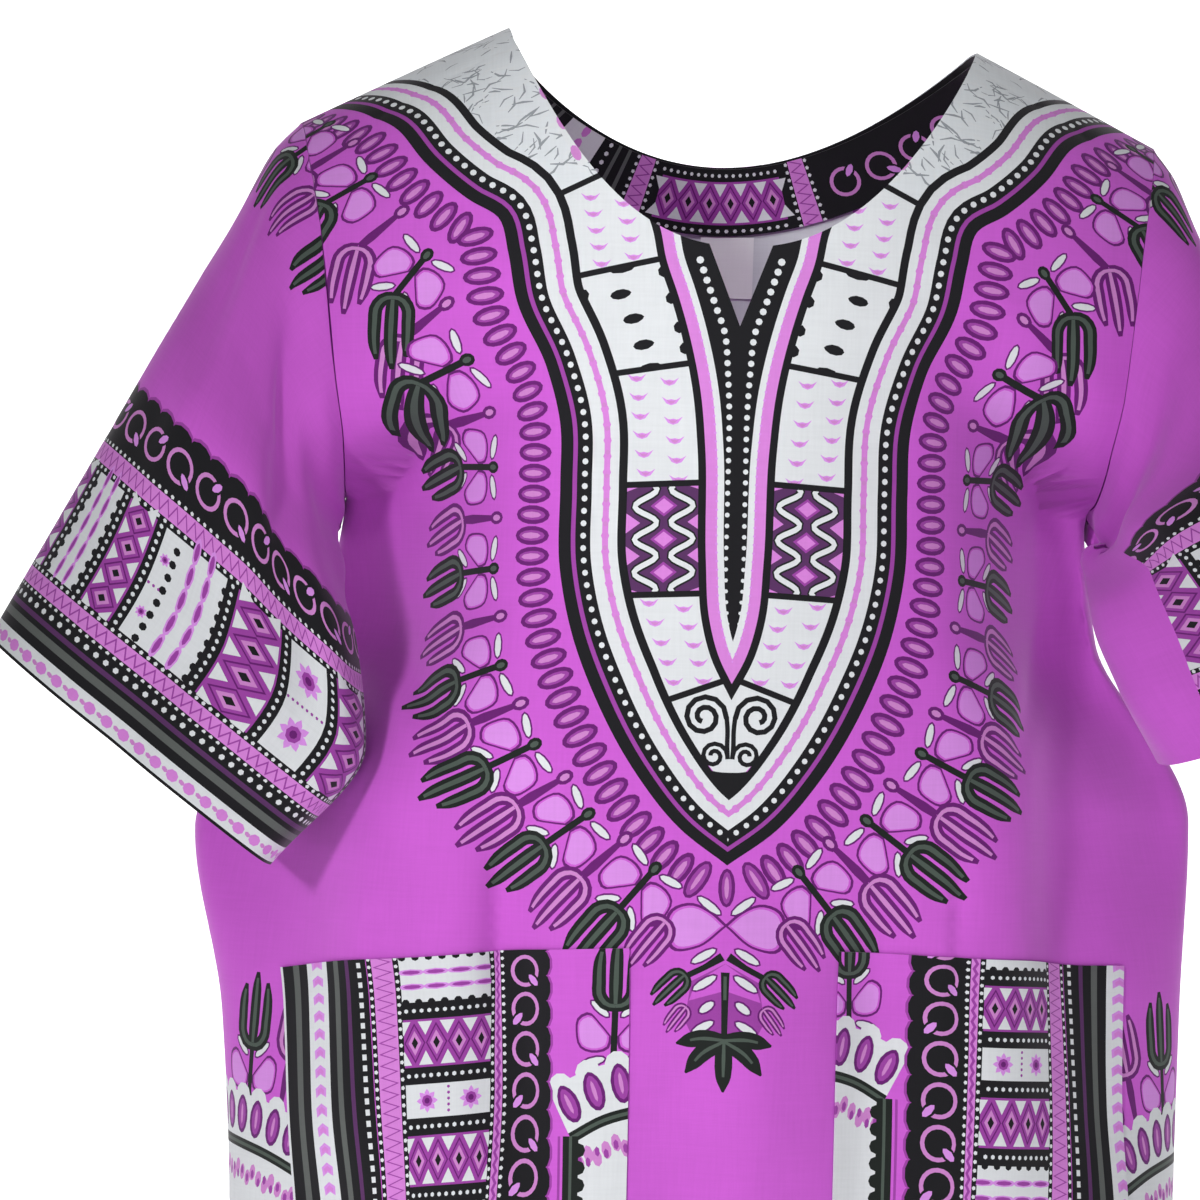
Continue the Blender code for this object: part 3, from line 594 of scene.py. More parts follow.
SLEEVE_PLACES = np.linspace(0.0, 1.0, 181)
SLEEVE_ANGLES = np.linspace(-180.0, 180.0, 361)


def round_normals(points, side):
    """Normals of a sleeve's grid whose last column is followed by its first."""
    around = np.roll(points, -1, axis=1) - np.roll(points, 1, axis=1)
    return unit(np.cross(around, np.gradient(points, SLEEVE_PLACES, axis=0)) * -side)


def closed_round(grid):
    """The same grid with its first column once more at its end."""
    return np.concatenate([grid, grid[:, :1]], axis=1)


def sleeve_surface(side):
    """Dense grid of a sleeve, from the armhole to the cuff, closed under the arm."""
    angles = SLEEVE_ANGLES
    points = np.array([sleeve_point(side, angles, np.full_like(angles, t)) for t in SLEEVE_PLACES])[:, :-1]
    ridge = np.zeros(points.shape[:2])
    for a0, a1, half, start, end, height in SLEEVE_CREASES[side]:
        middle = a0 + (a1 - a0) * SLEEVE_PLACES[:, None]
        away = (angles[None, :-1] - middle + 180.0) % 360.0 - 180.0
        span = (SLEEVE_PLACES[:, None] - start) / (end - start)
        fade = ease(span / CREASE_FADE) * ease((1.0 - span) / CREASE_FADE)
        ridge = ridge + height * np.exp(-((away / half) ** 2)) * fade
    points = points + round_normals(points, side) * ridge[..., None]
    surface = Surface(SLEEVE_PLACES, angles, closed_round(points), -side)
    surface.normals = closed_round(round_normals(points, side))
    return surface


class SleeveFlat:
    """Flat cloth (a, v) of a sleeve, to and from its places (t, angle)."""

    def __init__(self, surface):
        cuff = surface.points[-1]
        around = running(np.linalg.norm(np.diff(cuff, axis=0), axis=1))
        self.a = around - np.interp(0.0, SLEEVE_ANGLES, around)
        steps = np.linalg.norm(np.diff(surface.points, axis=0), axis=2)
        up = np.cumsum(steps[::-1], axis=0)[::-1]
        self.v = np.concatenate([up, np.zeros((1, len(SLEEVE_ANGLES)))])
        self.flat_v = np.arange(*SLEEVE_FLAT_UP, FLAT_STEP)
        self.t_grid = np.stack(
            [np.interp(self.flat_v, column[::-1], SLEEVE_PLACES[::-1]) for column in self.v.T], axis=1
        )

    def flat(self, places):
        t, angle = np.asarray(places, float).T
        a = np.interp(angle, SLEEVE_ANGLES, self.a)
        return np.stack([a, sample(self.v, SLEEVE_PLACES, SLEEVE_ANGLES, t, angle)], axis=1)

    def places(self, flat):
        a, v = flat.T
        angle = np.interp(a, self.a, SLEEVE_ANGLES)
        return np.stack([sample(self.t_grid, self.flat_v, SLEEVE_ANGLES, v, angle), angle], axis=1)


class PlainFlat:
    """Flat cloth of a small piece whose places change evenly along it."""

    def __init__(self, widths, columns, heights, rows):
        self.widths, self.columns, self.heights, self.rows = widths, columns, heights, rows
        # np.interp needs places that rise, so columns that fall are read backwards.
        order = slice(None) if columns[0] < columns[-1] else slice(None, None, -1)
        self.rising = columns[order], widths[order]

    def flat(self, places):
        row, column = np.asarray(places, float).T
        p = np.interp(column, *self.rising)
        return np.stack([p, np.interp(row, self.rows, self.heights)], axis=1)

    def places(self, flat):
        p, q = flat.T
        column = np.interp(p, self.widths, self.columns)
        return np.stack([np.interp(q, self.heights, self.rows), column], axis=1)


# ---------------------------------------------------------------- drawing in the flat cloth

SHADES = {
    "base": (197, 90, 203),
    "deep": (100, 24, 108),
    "petal": (208, 138, 220),
    "pink": (206, 126, 208),
    "black": (18, 18, 22),
    "stem": (22, 28, 25),
    "green": (72, 84, 76),
    "white": (213, 216, 219),
    "grey": (212, 216, 220),
    "pencil": (142, 147, 153),
    "mauve": (150, 62, 156),
    "rose": (198, 128, 196),
    "dusk": (84, 44, 92),
    "smoke": (88, 92, 90),
    "reverse": (192, 108, 200),
    "label": (240, 241, 242),
}
SHADE_NAMES = list(SHADES)


def linear(shade):
    return [((c / 255 + 0.055) / 1.055) ** 2.4 if c > 10 else c / 255 / 12.92 for c in shade]


def curve_through(points, pitch=3.0):
    """Smooth curve through a few points, at even steps."""
    points = np.asarray(points, float)
    t = run_along(points)
    tangent = np.gradient(points, t, axis=0)
    at = np.linspace(0.0, t[-1], max(3, int(round(t[-1] / pitch)) + 1))
    k, f = between(t, at)
    step = (t[k + 1] - t[k])[:, None]
    return cubic(f[:, None], step, points[k], tangent[k], points[k + 1], tangent[k + 1])


def directions(line):
    return unit(np.gradient(line, axis=0))


def offset(line, out):
    """Line a distance to the side of another, or a distance of its own at each point."""
    along = directions(line)
    return line + np.asarray(out)[..., None] * np.stack([along[:, 1], -along[:, 0]], axis=1)


def hull(points):
    """Convex outline of a few points."""
    points = sorted({(round(float(x), 5), round(float(y), 5)) for x, y in points})
    if len(points) < 3:
        return []
    chains = []
    for order in (points, points[::-1]):
        chain = []
        for p in order:
            while len(chain) > 1:
                (ax, ay), (bx, by) = chain[-2], chain[-1]
                if (bx - ax) * (p[1] - ay) - (by - ay) * (p[0] - ax) > 0:
                    break
                chain.pop()
            chain.append(p)
        chains.append(chain[:-1])
    return chains[0] + chains[1]


class Design:
    """Coloured shapes in the flat cloth, each over those before it."""

    def __init__(self):
        self.shapes = []

    def fill(self, points, shade):
        points = np.asarray(points, float)
        if len(points) < 3:
            return
        x, y = points.T
        area = float(np.dot(x, np.roll(y, -1)) - np.dot(y, np.roll(x, -1)))
        if abs(area) > 0.02:
            self.shapes.append((points if area > 0 else points[::-1], SHADE_NAMES.index(shade)))

    def box(self, x0, y0, x1, y1, shade):
        self.fill([(x0, y0), (x1, y0), (x1, y1), (x0, y1)], shade)

    def band(self, line, near, far, shade):
        """Stretch between two offsets of a line."""
        one, two = offset(line, near), offset(line, far)
        for k in range(len(line) - 1):
            self.fill(hull([one[k], one[k + 1], two[k + 1], two[k]]), shade)

    def stroke(self, line, width, shade):
        """Line of one width, or of several widths that follow each other at even places along it."""
        line = np.asarray(line, float)
        along = directions(line)
        widths = np.atleast_1d(np.asarray(width, float))
        shares = [np.linspace(0.0, 1.0, count) for count in (len(line), len(widths))]
        half = np.interp(*shares, widths) / 2.0
        aside = np.stack([along[:, 1], -along[:, 0]], axis=1) * half[:, None]
        for k in range(len(line) - 1):
            ends = [line[k] + aside[k], line[k + 1] + aside[k + 1]]
            ends += [line[k + 1] - aside[k + 1], line[k] - aside[k]]
            self.fill(hull(ends), shade)

    def oval(self, centre, half_long, half_wide, towards, shade, sides=12, tip=1.0):
        """Oval whose long axis points a way. tip below 1 gives it a pointed start."""
        towards = unit(np.asarray(towards, float))
        aside = np.array([towards[1], -towards[0]])
        angle = np.arange(sides) * 2 * math.pi / sides
        rise = np.abs(np.sin(angle))
        wide = half_wide * np.where(np.cos(angle) < 0, rise ** (1 / tip), rise) * np.sign(np.sin(angle))
        points = np.asarray(centre) + np.outer(half_long * np.cos(angle), towards) + np.outer(wide, aside)
        self.fill(points, shade)

    def dot(self, centre, radius, shade, sides=8):
        self.oval(centre, radius, radius, (1.0, 0.0), shade, sides)


def frame_at(origin, towards):
    """Puts local points (along, aside) at a place, along a direction."""
    towards = unit(np.asarray(towards, float))
    aside = np.array([towards[1], -towards[0]])

    def put(points):
        points = np.asarray(points, float)
        return np.asarray(origin) + points[..., :1] * towards + points[..., 1:2] * aside

    return put


FINGERS = (
    ((0.0, 0.0), (0.6, 3.6), (4.2, 6.9), (12.0, 7.6), (21.0, 7.4), (29.0, 6.2)),
    ((0.0, 0.0), (0.6, -3.6), (4.2, -6.9), (12.0, -7.6), (21.0, -7.4), (27.0, -6.6)),
    ((1.0, 0.0), (12.0, 0.1), (22.0, 0.0), (33.0, -0.5)),
)


def claw(design, root, towards, size=1.0, pink=False, droop=0.0):
    """Three curved fingers, side by side, that open away from their root. droop turns them aside."""
    turn = math.atan2(towards[1], towards[0]) + droop
    put = frame_at(root, (math.cos(turn), math.sin(turn)))
    outer, core = ("deep", "rose") if pink else ("stem", "green")
    fingers = [put(curve_through(np.array(finger) * size, 2.6 * size)) for finger in FINGERS]
    for finger in fingers:
        design.stroke(finger, np.array((5.4, 6.2, 6.2, 6.0, 5.4, 2.0)) * size, outer)
    for finger in fingers:
        design.stroke(finger[:-1], np.array((1.6, 2.3, 2.0, 1.4)) * size, core)


PETAL = ((13.0, 3.8), (8.6, 4.4), (6.4, 10.6), (8.4, 16.4), (14.2, 18.2), (21.0, 17.4), (23.0, 13.6),
         (18.4, 8.4))
PETAL_STEP = 2.4
CLAW_SIZE = 1.17


def outlined_petal(design, petal, middle, sizes, put=np.asarray):
    """Petal with a dark outline, and a line of the ground between the two."""
    for size, shade in zip(sizes, ("deep", "base")):
        design.fill(put((petal - middle) * size + middle), shade)
    design.fill(put(petal), "petal")


def leaf(design, start, end, half_wide):
    """White leaf with a dark outline."""
    start, end = np.asarray(start), np.asarray(end)
    long = np.linalg.norm(end - start) / 2.0
    design.oval((start + end) / 2.0, long + 1.1, half_wide + 1.0, end - start, "deep", 10)
    design.oval((start + end) / 2.0, long, half_wide, end - start, "white", 10)


def unit_of_ring(design, foot, towards, droop=0.0):
    """Knot, stem, petals, leaves and claw, one unit of the ring outside the border."""
    put = frame_at(foot, towards)
    for side in (1.0, -1.0):
        petal = curve_through([*PETAL, PETAL[0]], PETAL_STEP)[:-1] * (1.0, side)
        outlined_petal(design, petal, petal.mean(axis=0), (1.3, 1.13), put)
    for side in (1.0, -1.0):
        leaf(design, put((1.2, 4.6 * side)), put((-1.8, 16.4 * side)), 1.9)
        leaf(design, put((23.4, 3.4 * side)), put((31.6, 12.4 * side)), 1.8)
    design.stroke(put([(0.0, 0.0), (14.0, 0.0), (29.0, 0.0)]), 3.4, "stem")
    design.oval(put((0.0, 0.0)), 4.2, 3.3, towards, "stem", 10)
    design.oval(put((0.2, 0.0)), 2.5, 1.5, towards, "green", 8)
    claw(design, put((29.0, 0.0)), towards, CLAW_SIZE, droop=droop)


def bud_between(design, foot, towards, droop=0.0):
    """Pink bud, stem and pink claw between two units."""
    put = frame_at(foot, towards)
    design.stroke(put([(0.0, 0.0), (10.0, 0.0), (20.0, 0.0), (28.0, 0.0)]), (2.6, 3.8, 5.0, 4.0), "deep")
    design.oval(put((-1.0, 0.0)), 5.0, 3.5, towards, "deep", 10)
    design.oval(put((-1.0, 0.0)), 2.9, 1.7, towards, "rose", 8)
    claw(design, put((29.5, 0.0)), towards, CLAW_SIZE * 0.97, pink=True, droop=droop)


def dotted(design, line, out, pitch, radius, shade):
    """Round dots along an offset of a line, of one radius or from one radius to another."""
    path = offset(line, out)
    run = run_along(path)
    radii = np.broadcast_to(radius, 2)
    for at in np.arange(pitch * 0.5, run[-1], pitch):
        share = at / run[-1]
        design.dot(point_at(path, run, at), radii[0] * (1 - share) + radii[1] * share, shade, 8)


def crescent(design, centre, width, height, shade):
    """Shallow bowl, thick in its middle and fine at its ends."""
    x, y = centre
    low = [(x - width * 0.5, y - height * 0.5), (x - width * 0.26, y + height * 0.28), (x, y + height * 0.5),
           (x + width * 0.26, y + height * 0.28), (x + width * 0.5, y - height * 0.5)]
    high = [(x + width * k, y - height * up) for k, up in ((0.22, 0.12), (0.0, 0.24), (-0.22, 0.12))]
    design.fill([*low, *high], shade)


def cell_map(outer_top, inner_top, outer_bottom, inner_bottom):
    """Place in a cell from fractions across (0 at its outer side) and down."""
    corners = [np.array(c, float) for c in (outer_top, inner_top, outer_bottom, inner_bottom)]

    def put(across, down):
        top = corners[0] * (1 - across) + corners[1] * across
        bottom = corners[2] * (1 - across) + corners[3] * across
        return top * (1 - down) + bottom * down

    return put


def crescent_cell(design, put, rows, stagger):
    """Two columns of crescents, one of them a little lower."""
    for column, across in enumerate((0.27, 0.73)):
        for k in range(rows):
            down = (k + 0.6 + stagger * (column - 0.5)) / rows
            size = np.linalg.norm(put(1.0, down) - put(0.0, down))
            crescent(design, put(across, down), min(10.0, size * 0.32), 4.4, "petal")
            crescent(design, put(across, down) + (0.0, 0.3), min(5.0, size * 0.16), 2.4, "rose")


BORDER = ((254.0, -24.0), (215.0, 42.0), (192.0, 74.0), (178.0, 89.7), (161.5, 117.0), (140.0, 139.0),
          (123.0, 151.0), (117.5, 171.0), (113.0, 198.0), (98.4, 230.7), (90.0, 259.5), (89.0, 293.0),
          (88.2, 334.6), (81.5, 365.6), (68.3, 399.0), (46.4, 437.9), (23.2, 466.0), (-1.0, 484.0),
          (-24.0, 501.0), (-60.0, 528.0))
RING_KNOTS = ((239.0, 22.0), (216.0, 72.7), (193.0, 124.0), (163.0, 172.0), (145.0, 228.0), (137.0, 284.0),
              (132.5, 337.0), (121.0, 387.0), (101.0, 427.0), (72.0, 462.0), (37.0, 489.0))
RING_DROOP = (0.1, 0.35, 0.55, 0.6, 0.65, 0.3, 0.22, 0.1, 0.0, 0.0, 0.0)
LOOPS_OUT, LOOP_PITCH, FIRST_LOOP = 18.4, 10.8, 30.0
# Loops and shapes nearer to the centre line than these belong to the medallion, or cross the line.
LOOPS_END, CENTRE_OVERLAP = 23.0, 3.0
PLACKET = ((52.0, 138.0), (44.0, 158.0), (40.5, 175.0), (34.0, 194.0), (27.5, 216.0), (21.5, 244.0),
           (18.5, 273.0), (16.8, 332.0), (14.5, 360.0), (9.0, 380.0), (0.0, 397.5), (-9.0, 414.0))
PLACKET_DOTS = ((22.0, 172.0), (16.5, 188.0), (11.5, 202.0), (8.5, 210.0), (7.0, 217.0), (6.0, 230.0),
                (5.0, 245.0), (4.5, 300.0), (4.0, 350.0), (2.0, 374.0))
# Lines between the cells of the border, from its outer side in. The first ends the grey patch.
DIVIDERS = (((89.5, 137.5), (62.0, 124.0)), ((82.0, 183.5), (44.0, 175.0)), ((63.5, 234.8), (27.0, 229.0)),
            ((56.5, 292.4), (19.5, 290.3)), ((55.5, 349.2), (17.8, 347.3)), ((35.0, 403.2), (3.0, 391.4)))
DIVIDER_WIDTH = 3.2
BACK_FIRST_DIVIDER_END = (40.0, 118.0)
# Cells with crescents: corners (outer and inner, above and below), rows and stagger.
FRONT_CRESCENTS = (
    ((88.0, 140.0), (55.0, 126.0), (81.0, 183.0), (45.0, 175.0), 5, 0.0),
    ((63.0, 234.6), (27.0, 229.0), (56.0, 292.3), (20.0, 290.3), 6, 0.4),
    ((55.0, 349.2), (18.0, 347.3), (36.0, 402.0), (6.0, 391.0), 5, 0.4),
)
BACK_CRESCENTS = (
    ((88.0, 140.0), (45.0, 126.0), (81.0, 183.0), (34.0, 175.0), 5, 0.0),
    ((81.0, 183.0), (34.0, 175.0), (63.0, 234.6), (27.0, 229.0), 5, 0.4),
    ((63.0, 234.6), (27.0, 229.0), (56.0, 292.3), (20.0, 290.3), 5, 0.0),
    ((56.0, 292.3), (20.0, 290.3), (55.0, 349.2), (18.5, 347.3), 5, 0.4),
    ((55.0, 349.2), (18.0, 347.3), (36.0, 402.0), (10.0, 391.0), 5, 0.0),
)


def to_centre(design, line, shade):
    """Everything from a line to the centre of the panel, and a little over it."""
    past = -CENTRE_OVERLAP - 0.5
    for (x0, y0), (x1, y1) in zip(line[:-1], line[1:]):
        if x0 < -CENTRE_OVERLAP:
            break
        design.fill(hull([(x0, y0), (x1, y1), (past, y1), (past, y0)]), shade)


def ring_outside(design, border):
    """Loops and units that stand round the border."""
    middle = offset(border, LOOPS_OUT)
    towards = offset(border, 1.0) - border
    run = run_along(middle)
    for at in np.arange(FIRST_LOOP, run[-1], LOOP_PITCH):
        centre, way = point_at(middle, run, at), point_at(towards, run, at)
        if centre[0] < LOOPS_END:
            continue
        design.oval(centre, 10.2, 5.0, way, "deep", 14)
        design.oval(centre, 7.8, 2.8, way, "mauve", 12)
        design.oval(centre + way * 0.4, 5.8, 1.6, way, "rose", 8)
    feet = np.array(RING_KNOTS)
    ways = [unit(towards[int(np.argmin(np.hypot(*(border - foot).T)))]) for foot in feet]
    for k in range(len(feet) - 1):
        middle_foot = (feet[k] + feet[k + 1]) / 2.0 - ways[k]
        droop = (RING_DROOP[k] + RING_DROOP[k + 1]) / 2.0 + 0.06
        bud_between(design, middle_foot, unit(ways[k] + ways[k + 1]), droop)
    for foot, way, droop in zip(feet, ways, RING_DROOP):
        unit_of_ring(design, foot, way, droop)


MEDALLION_PETAL = ((2.5, 517.5), (9.0, 512.0), (18.0, 508.5), (26.0, 511.5), (28.5, 520.0), (25.0, 528.0),
                   (15.0, 527.0))


def medallion(design):
    """Leaves and petals that hang from the border's point."""
    down = (0.0, 1.0)
    for centre, half, wide, way in (((0.0, 498.0), 8.4, 4.4, down), ((15.0, 494.0), 9.6, 5.0, (0.55, 0.83))):
        design.oval(centre, half + 1.6, wide, way, "deep", 14)
        design.oval(centre, half, wide - 1.8, way, "mauve", 12)
        design.oval(centre, half * 0.7, 1.2, way, "rose", 8)
    petal = curve_through([*MEDALLION_PETAL, MEDALLION_PETAL[0]], PETAL_STEP)[:-1]
    outlined_petal(design, petal, np.array((16.0, 518.5)), (1.25, 1.11))
    design.fill([(-1.0, 536.0), (17.0, 546.0), (20.0, 566.0), (16.0, 574.0), (-1.0, 576.0)], "mauve")
    design.fill([(-1.0, 536.0), (15.0, 547.0), (18.0, 556.0), (-1.0, 550.0)], "base")
    for start, end in (((3.0, 511.5), (14.5, 503.0)), ((5.0, 529.5), (17.0, 536.5)),
                       ((4.6, 543.0), (16.0, 550.4)), ((5.6, 556.4), (12.4, 561.6)),
                       ((5.6, 566.2), (16.0, 572.4))):
        leaf(design, start, end, 1.9)
    claw(design, (31.0, 516.0), (0.62, 0.78), 0.92, pink=True)
    design.stroke([(1.5, 533.0), (10.0, 538.5), (21.5, 544.5)], (4.4, 3.0, 3.0), "stem")
    claw(design, (20.5, 543.0), (0.86, 0.5), 0.68, droop=0.25)
    claw(design, (19.5, 559.5), (0.6, 0.8), 0.5, pink=True)
    design.stroke([(0.0, 541.0), (0.0, 558.0), (0.0, 577.0)], (4.4, 3.4, 2.8), "stem")
    design.stroke([(0.0, 543.0), (0.0, 549.0), (0.0, 555.0)], 1.6, "green")
    fingers = (((0.0, 575.5), (11.0, 575.0), (24.0, 578.0)), ((0.0, 576.0), (10.0, 582.0), (19.0, 593.0)),
               ((0.0, 576.0), (0.0, 588.0), (0.0, 602.0)))
    for finger in fingers:
        design.stroke(curve_through(finger, 2.5), (6.0, 8.6, 8.8, 7.4, 1.0), "stem")
    for finger in fingers:
        design.stroke(curve_through(finger, 2.5)[:-3], (1.4, 1.9, 1.2), "green")


def inside_of(corners, place):
    """True where a place lies within a polygon."""
    x, y = place
    found = False
    for (x0, y0), (x1, y1) in zip(corners, [*corners[1:], corners[0]]):
        if (y0 > y) != (y1 > y) and x < x0 + (x1 - x0) * (y - y0) / (y1 - y0):
            found = not found
    return found


def hatch_patch(design, corners, count, seed):
    """Short pencil-like strokes over a grey ground."""
    design.fill(corners, "grey")
    low, high = np.min(corners, axis=0), np.max(corners, axis=0)
    random = np.random.default_rng(seed)
    for _ in range(count):
        start = low + (high - low) * random.random(2)
        turn = random.normal(1.1, 0.7)
        way = np.array([math.sin(turn), math.cos(turn)]) * random.uniform(6.0, 13.0)
        bend = np.array([way[1], -way[0]]) * random.uniform(-0.22, 0.22)
        if inside_of(corners, start) and inside_of(corners, start + way):
            pale = random.random() < 0.5
            width = random.uniform(1.2, 2.4) if pale else random.uniform(0.8, 1.6)
            shade = "white" if pale else "pencil"
            path = [start, start + way / 2 + bend, start + way]
            design.stroke(path, (width * 0.4, width, width * 0.4), shade)


def spiral(design, centre, radius, turns, width):
    """Dark spiral that winds in from the left, down to a share of its radius."""
    angle = np.linspace(0.0, turns * 2 * math.pi, int(turns * 12) + 1)
    reach = radius * (1.0 - 0.78 * angle / angle[-1])
    start = math.pi * 0.98
    points = [(centre[0] + r * math.cos(start + a), centre[1] + r * math.sin(start + a))
              for a, r in zip(angle, reach)]
    design.stroke(points, width, "black")


PATCH = ((98.0, 141.5), (60.0, 123.5), (70.0, 40.0), (110.0, -20.0), (205.0, -45.0), (216.0, -10.0),
         (160.0, 80.0), (128.0, 112.0))


def lengthened(start, end, by):
    """A line's two ends, each moved further out."""
    start, end = np.array(start), np.array(end)
    way = unit(end - start) * by
    return start - way, end + way


def eyes_cell(design, put):
    """Dark eyes down the middle of a white cell with a ragged edge."""
    for across, down in ((0.40, 0.26), (0.47, 0.51), (0.50, 0.77)):
        design.oval(put(across, down), 5.6, 2.7, (1.0, 0.22), "black", 10, tip=0.7)
    for side, downs in ((-0.1, (0.2, 0.44, 0.72, 0.92)), (1.06, (0.12, 0.38, 0.66, 0.86))):
        for down in downs:
            design.oval(put(side, down), 3.2, 3.0, (0.0, 1.0), "black", 7)
    design.oval(put(0.52, 0.02), 7.0, 2.4, (1.0, 0.2), "black", 8)
    design.oval(put(0.5, 0.99), 6.0, 2.2, (1.0, 0.2), "black", 8)


def wave_cell(design, put):
    """Two pale zigzag waves with diamonds between them on a dark ground."""
    design.fill([put(0.0, 0.0), put(1.0, 0.0), put(1.0, 1.0), put(0.0, 1.0)], "dusk")
    for down in (0.2, 0.5, 0.8):
        ends = [put(0.5 - 0.17, down), put(0.5, down - 0.095), put(0.5 + 0.17, down), put(0.5, down + 0.095)]
        design.fill(ends, "mauve")
        middle = put(0.5, down)
        design.fill([middle + (end - middle) * 0.72 for end in ends], "pink")
    for down, reach in ((0.02, 0.05), (0.35, 0.1), (0.65, 0.1), (0.98, 0.05)):
        for side, way in ((0.0, 1.0), (1.0, -1.0)):
            design.fill([put(side, max(down - reach, 0.0)), put(side + way * 0.2, down),
                         put(side, min(down + reach, 1.0))], "pink")
    downs = np.linspace(0.02, 0.98, 37)
    for mirror in (False, True):
        across = 0.27 + 0.14 * np.cos(2.0 * math.pi * (downs - 0.05) / 0.3)
        path = [put(1.0 - a if mirror else a, d) for a, d in zip(across, downs)]
        design.stroke(path, 4.6, "stem")
        design.stroke(path, 2.7, "white")


def scrolls(design):
    """Two pairs of scrolls over a dark point, in the tip of the border."""
    spiral(design, (13.8, 410.5), 11.6, 1.7, 2.8)
    design.stroke(curve_through([(2.2, 410.5), (1.6, 417.0), (1.6, 426.0), (1.2, 432.0)], 2.5), 2.4, "black")
    spiral(design, (8.4, 430.4), 7.2, 1.5, 2.3)
    sweep = curve_through([(16.8, 432.0), (13.0, 437.8), (7.0, 439.6), (-1.0, 440.0)], 2.5)
    design.stroke(sweep, 2.2, "black")
    design.fill([(-1.0, 439.0), (9.5, 439.6), (0.0, 450.0), (-1.0, 450.0)], "black")


def half_panel(seed):
    """What the front's and the back's prints start with: ring, medallion, hem, white ground and patch."""
    design = Design()
    border = curve_through(BORDER, 4.0)
    ring_outside(design, border)
    medallion(design)
    hem_print(design)
    to_centre(design, offset(border, -30.0), "white")
    hatch_patch(design, PATCH, 900, seed)
    return design, border


def front_yoke():
    """Half of the front's print, from its centre line out."""
    design, border = half_panel(4)
    design.stroke(curve_through([(112.0, 58.0), (99.0, 84.0), (91.0, 101.0), (82.0, 124.0)], 5.0),
                  (3.0, 7.5, 9.0, 5.0), "white")
    for centre in ((102.5, 80.0), (93.5, 99.0), (86.0, 117.0)):
        design.oval(centre, 4.8, 2.4, (-0.41, 0.91), "rose", 10)
    upper, middle, lower = FRONT_CRESCENTS
    crescent_cell(design, cell_map(*upper[:4]), *upper[4:])
    eyes_cell(design, cell_map((81.0, 183.0), (44.0, 175.0), (63.0, 234.6), (28.0, 229.0)))
    crescent_cell(design, cell_map(*middle[:4]), *middle[4:])
    wave_cell(design, cell_map((57.5, 292.3), (17.0, 290.3), (57.0, 349.2), (16.0, 347.3)))
    crescent_cell(design, cell_map(*lower[:4]), *lower[4:])
    scrolls(design)
    for start, end in DIVIDERS:
        design.stroke(lengthened(start, end, 9.0), DIVIDER_WIDTH, "black")
    placket = curve_through(PLACKET, 4.0)
    for out, shade in ((-2.0, "pink"), (-7.9, "white"), (-11.3, "black")):
        to_centre(design, offset(placket, out), shade)
    design.band(placket, -2.0, 2.0, "black")
    dotted(design, placket, -7.6, 4.4, 0.7, "petal")
    dotted(design, curve_through(PLACKET_DOTS, 3.0), 0.0, 5.6, (2.0, 0.9), "white")
    bands_of_border(design, border)
    return design


def bands_of_border(design, border):
    """Bands along the border line, from the outer one in. They close up towards its point."""
    run = run_along(border)
    tight = np.interp(run / run[-1], (0.0, 0.72, 0.88, 1.0), (1.0, 1.0, 0.86, 0.86))
    for near, far, shade in BORDER_BANDS:
        design.band(border, near * tight, far * tight, shade)
    for out, pitch, radius, shade in BORDER_DOTS:
        dotted(design, border, out * tight, pitch, radius, shade)


BORDER_DOTS = ((-21.8, 8.2, 2.2, "pink"), (-21.8, 12.3, 1.3, "rose"), (-10.2, 6.4, (1.9, 1.4), "white"))
BORDER_BANDS = ((3.0, -3.8, "black"), (-3.6, -6.2, "mauve"), (-6.0, -14.2, "black"), (-14.0, -28.4, "white"),
                (-20.2, -23.4, "pink"), (-28.2, -32.6, "black"))


DOME_DEPTH, LOOP_STEP, FRINGE_STEP = 27.0, 12.4, 5.2


def dome(design, arc, floor):
    """White dome with a dark rib, loops outside it and a fringe inside. Its arc runs from its peak out."""
    rib = curve_through(arc, 4.0)
    side = 1.0 if rib[-1][0] < rib[0][0] else -1.0
    outside = offset(rib, -side * DOME_DEPTH)
    design.fill([*rib, *outside[::-1]], "white")
    run = run_along(rib)
    for at in np.arange(4.0, run[-1] - 2.0, LOOP_STEP):
        foot, tip = point_at(rib, run, at), point_at(outside, run, at)
        design.dot(tip * 0.96 + foot * 0.04, 6.6, "white", 10)
        centre, way = foot * 0.42 + tip * 0.58, foot - tip
        design.oval(centre, 10.4, 5.4, way, "deep", 14, tip=0.8)
        design.oval(centre, 8.4, 3.6, way, "mauve", 12, tip=0.8)
        design.oval(centre, 5.6, 1.1, way, "rose", 8)
    end_x, end_y = rib[-1]
    design.fill([*rib, (end_x, floor), (rib[0][0], floor)], "white")
    for k, at in enumerate(np.arange(3.0, run[-1], FRINGE_STEP)):
        foot = point_at(rib, run, at)
        design.oval(foot + (0.0, 13.0 + 2.0 * (k % 3)), 4.6, 2.6, (0.3, 1.0), "rose", 8)
        design.oval(foot + (0.0, 14.0 + 3.0 * (k % 2)), 2.6, 1.4, (0.2, 1.0), "mauve", 6)
    design.band(rib, -2.8, 2.8, "stem")
    design.band(rib, -0.9, 0.9, "green")
    wall = np.array([(end_x, end_y - 1.0), (end_x, (end_y + floor) / 2), (end_x, floor)])
    design.stroke(wall, 8.5, "stem")
    design.stroke(wall, 1.6, "green")
    for y in np.arange(end_y + 6.0, floor, 8.6):
        design.dot((end_x + side * 4.4, y), 3.6, "stem", 8)
    design.stroke(wall - (side * 6.4, 0.0), 1.4, "mauve")


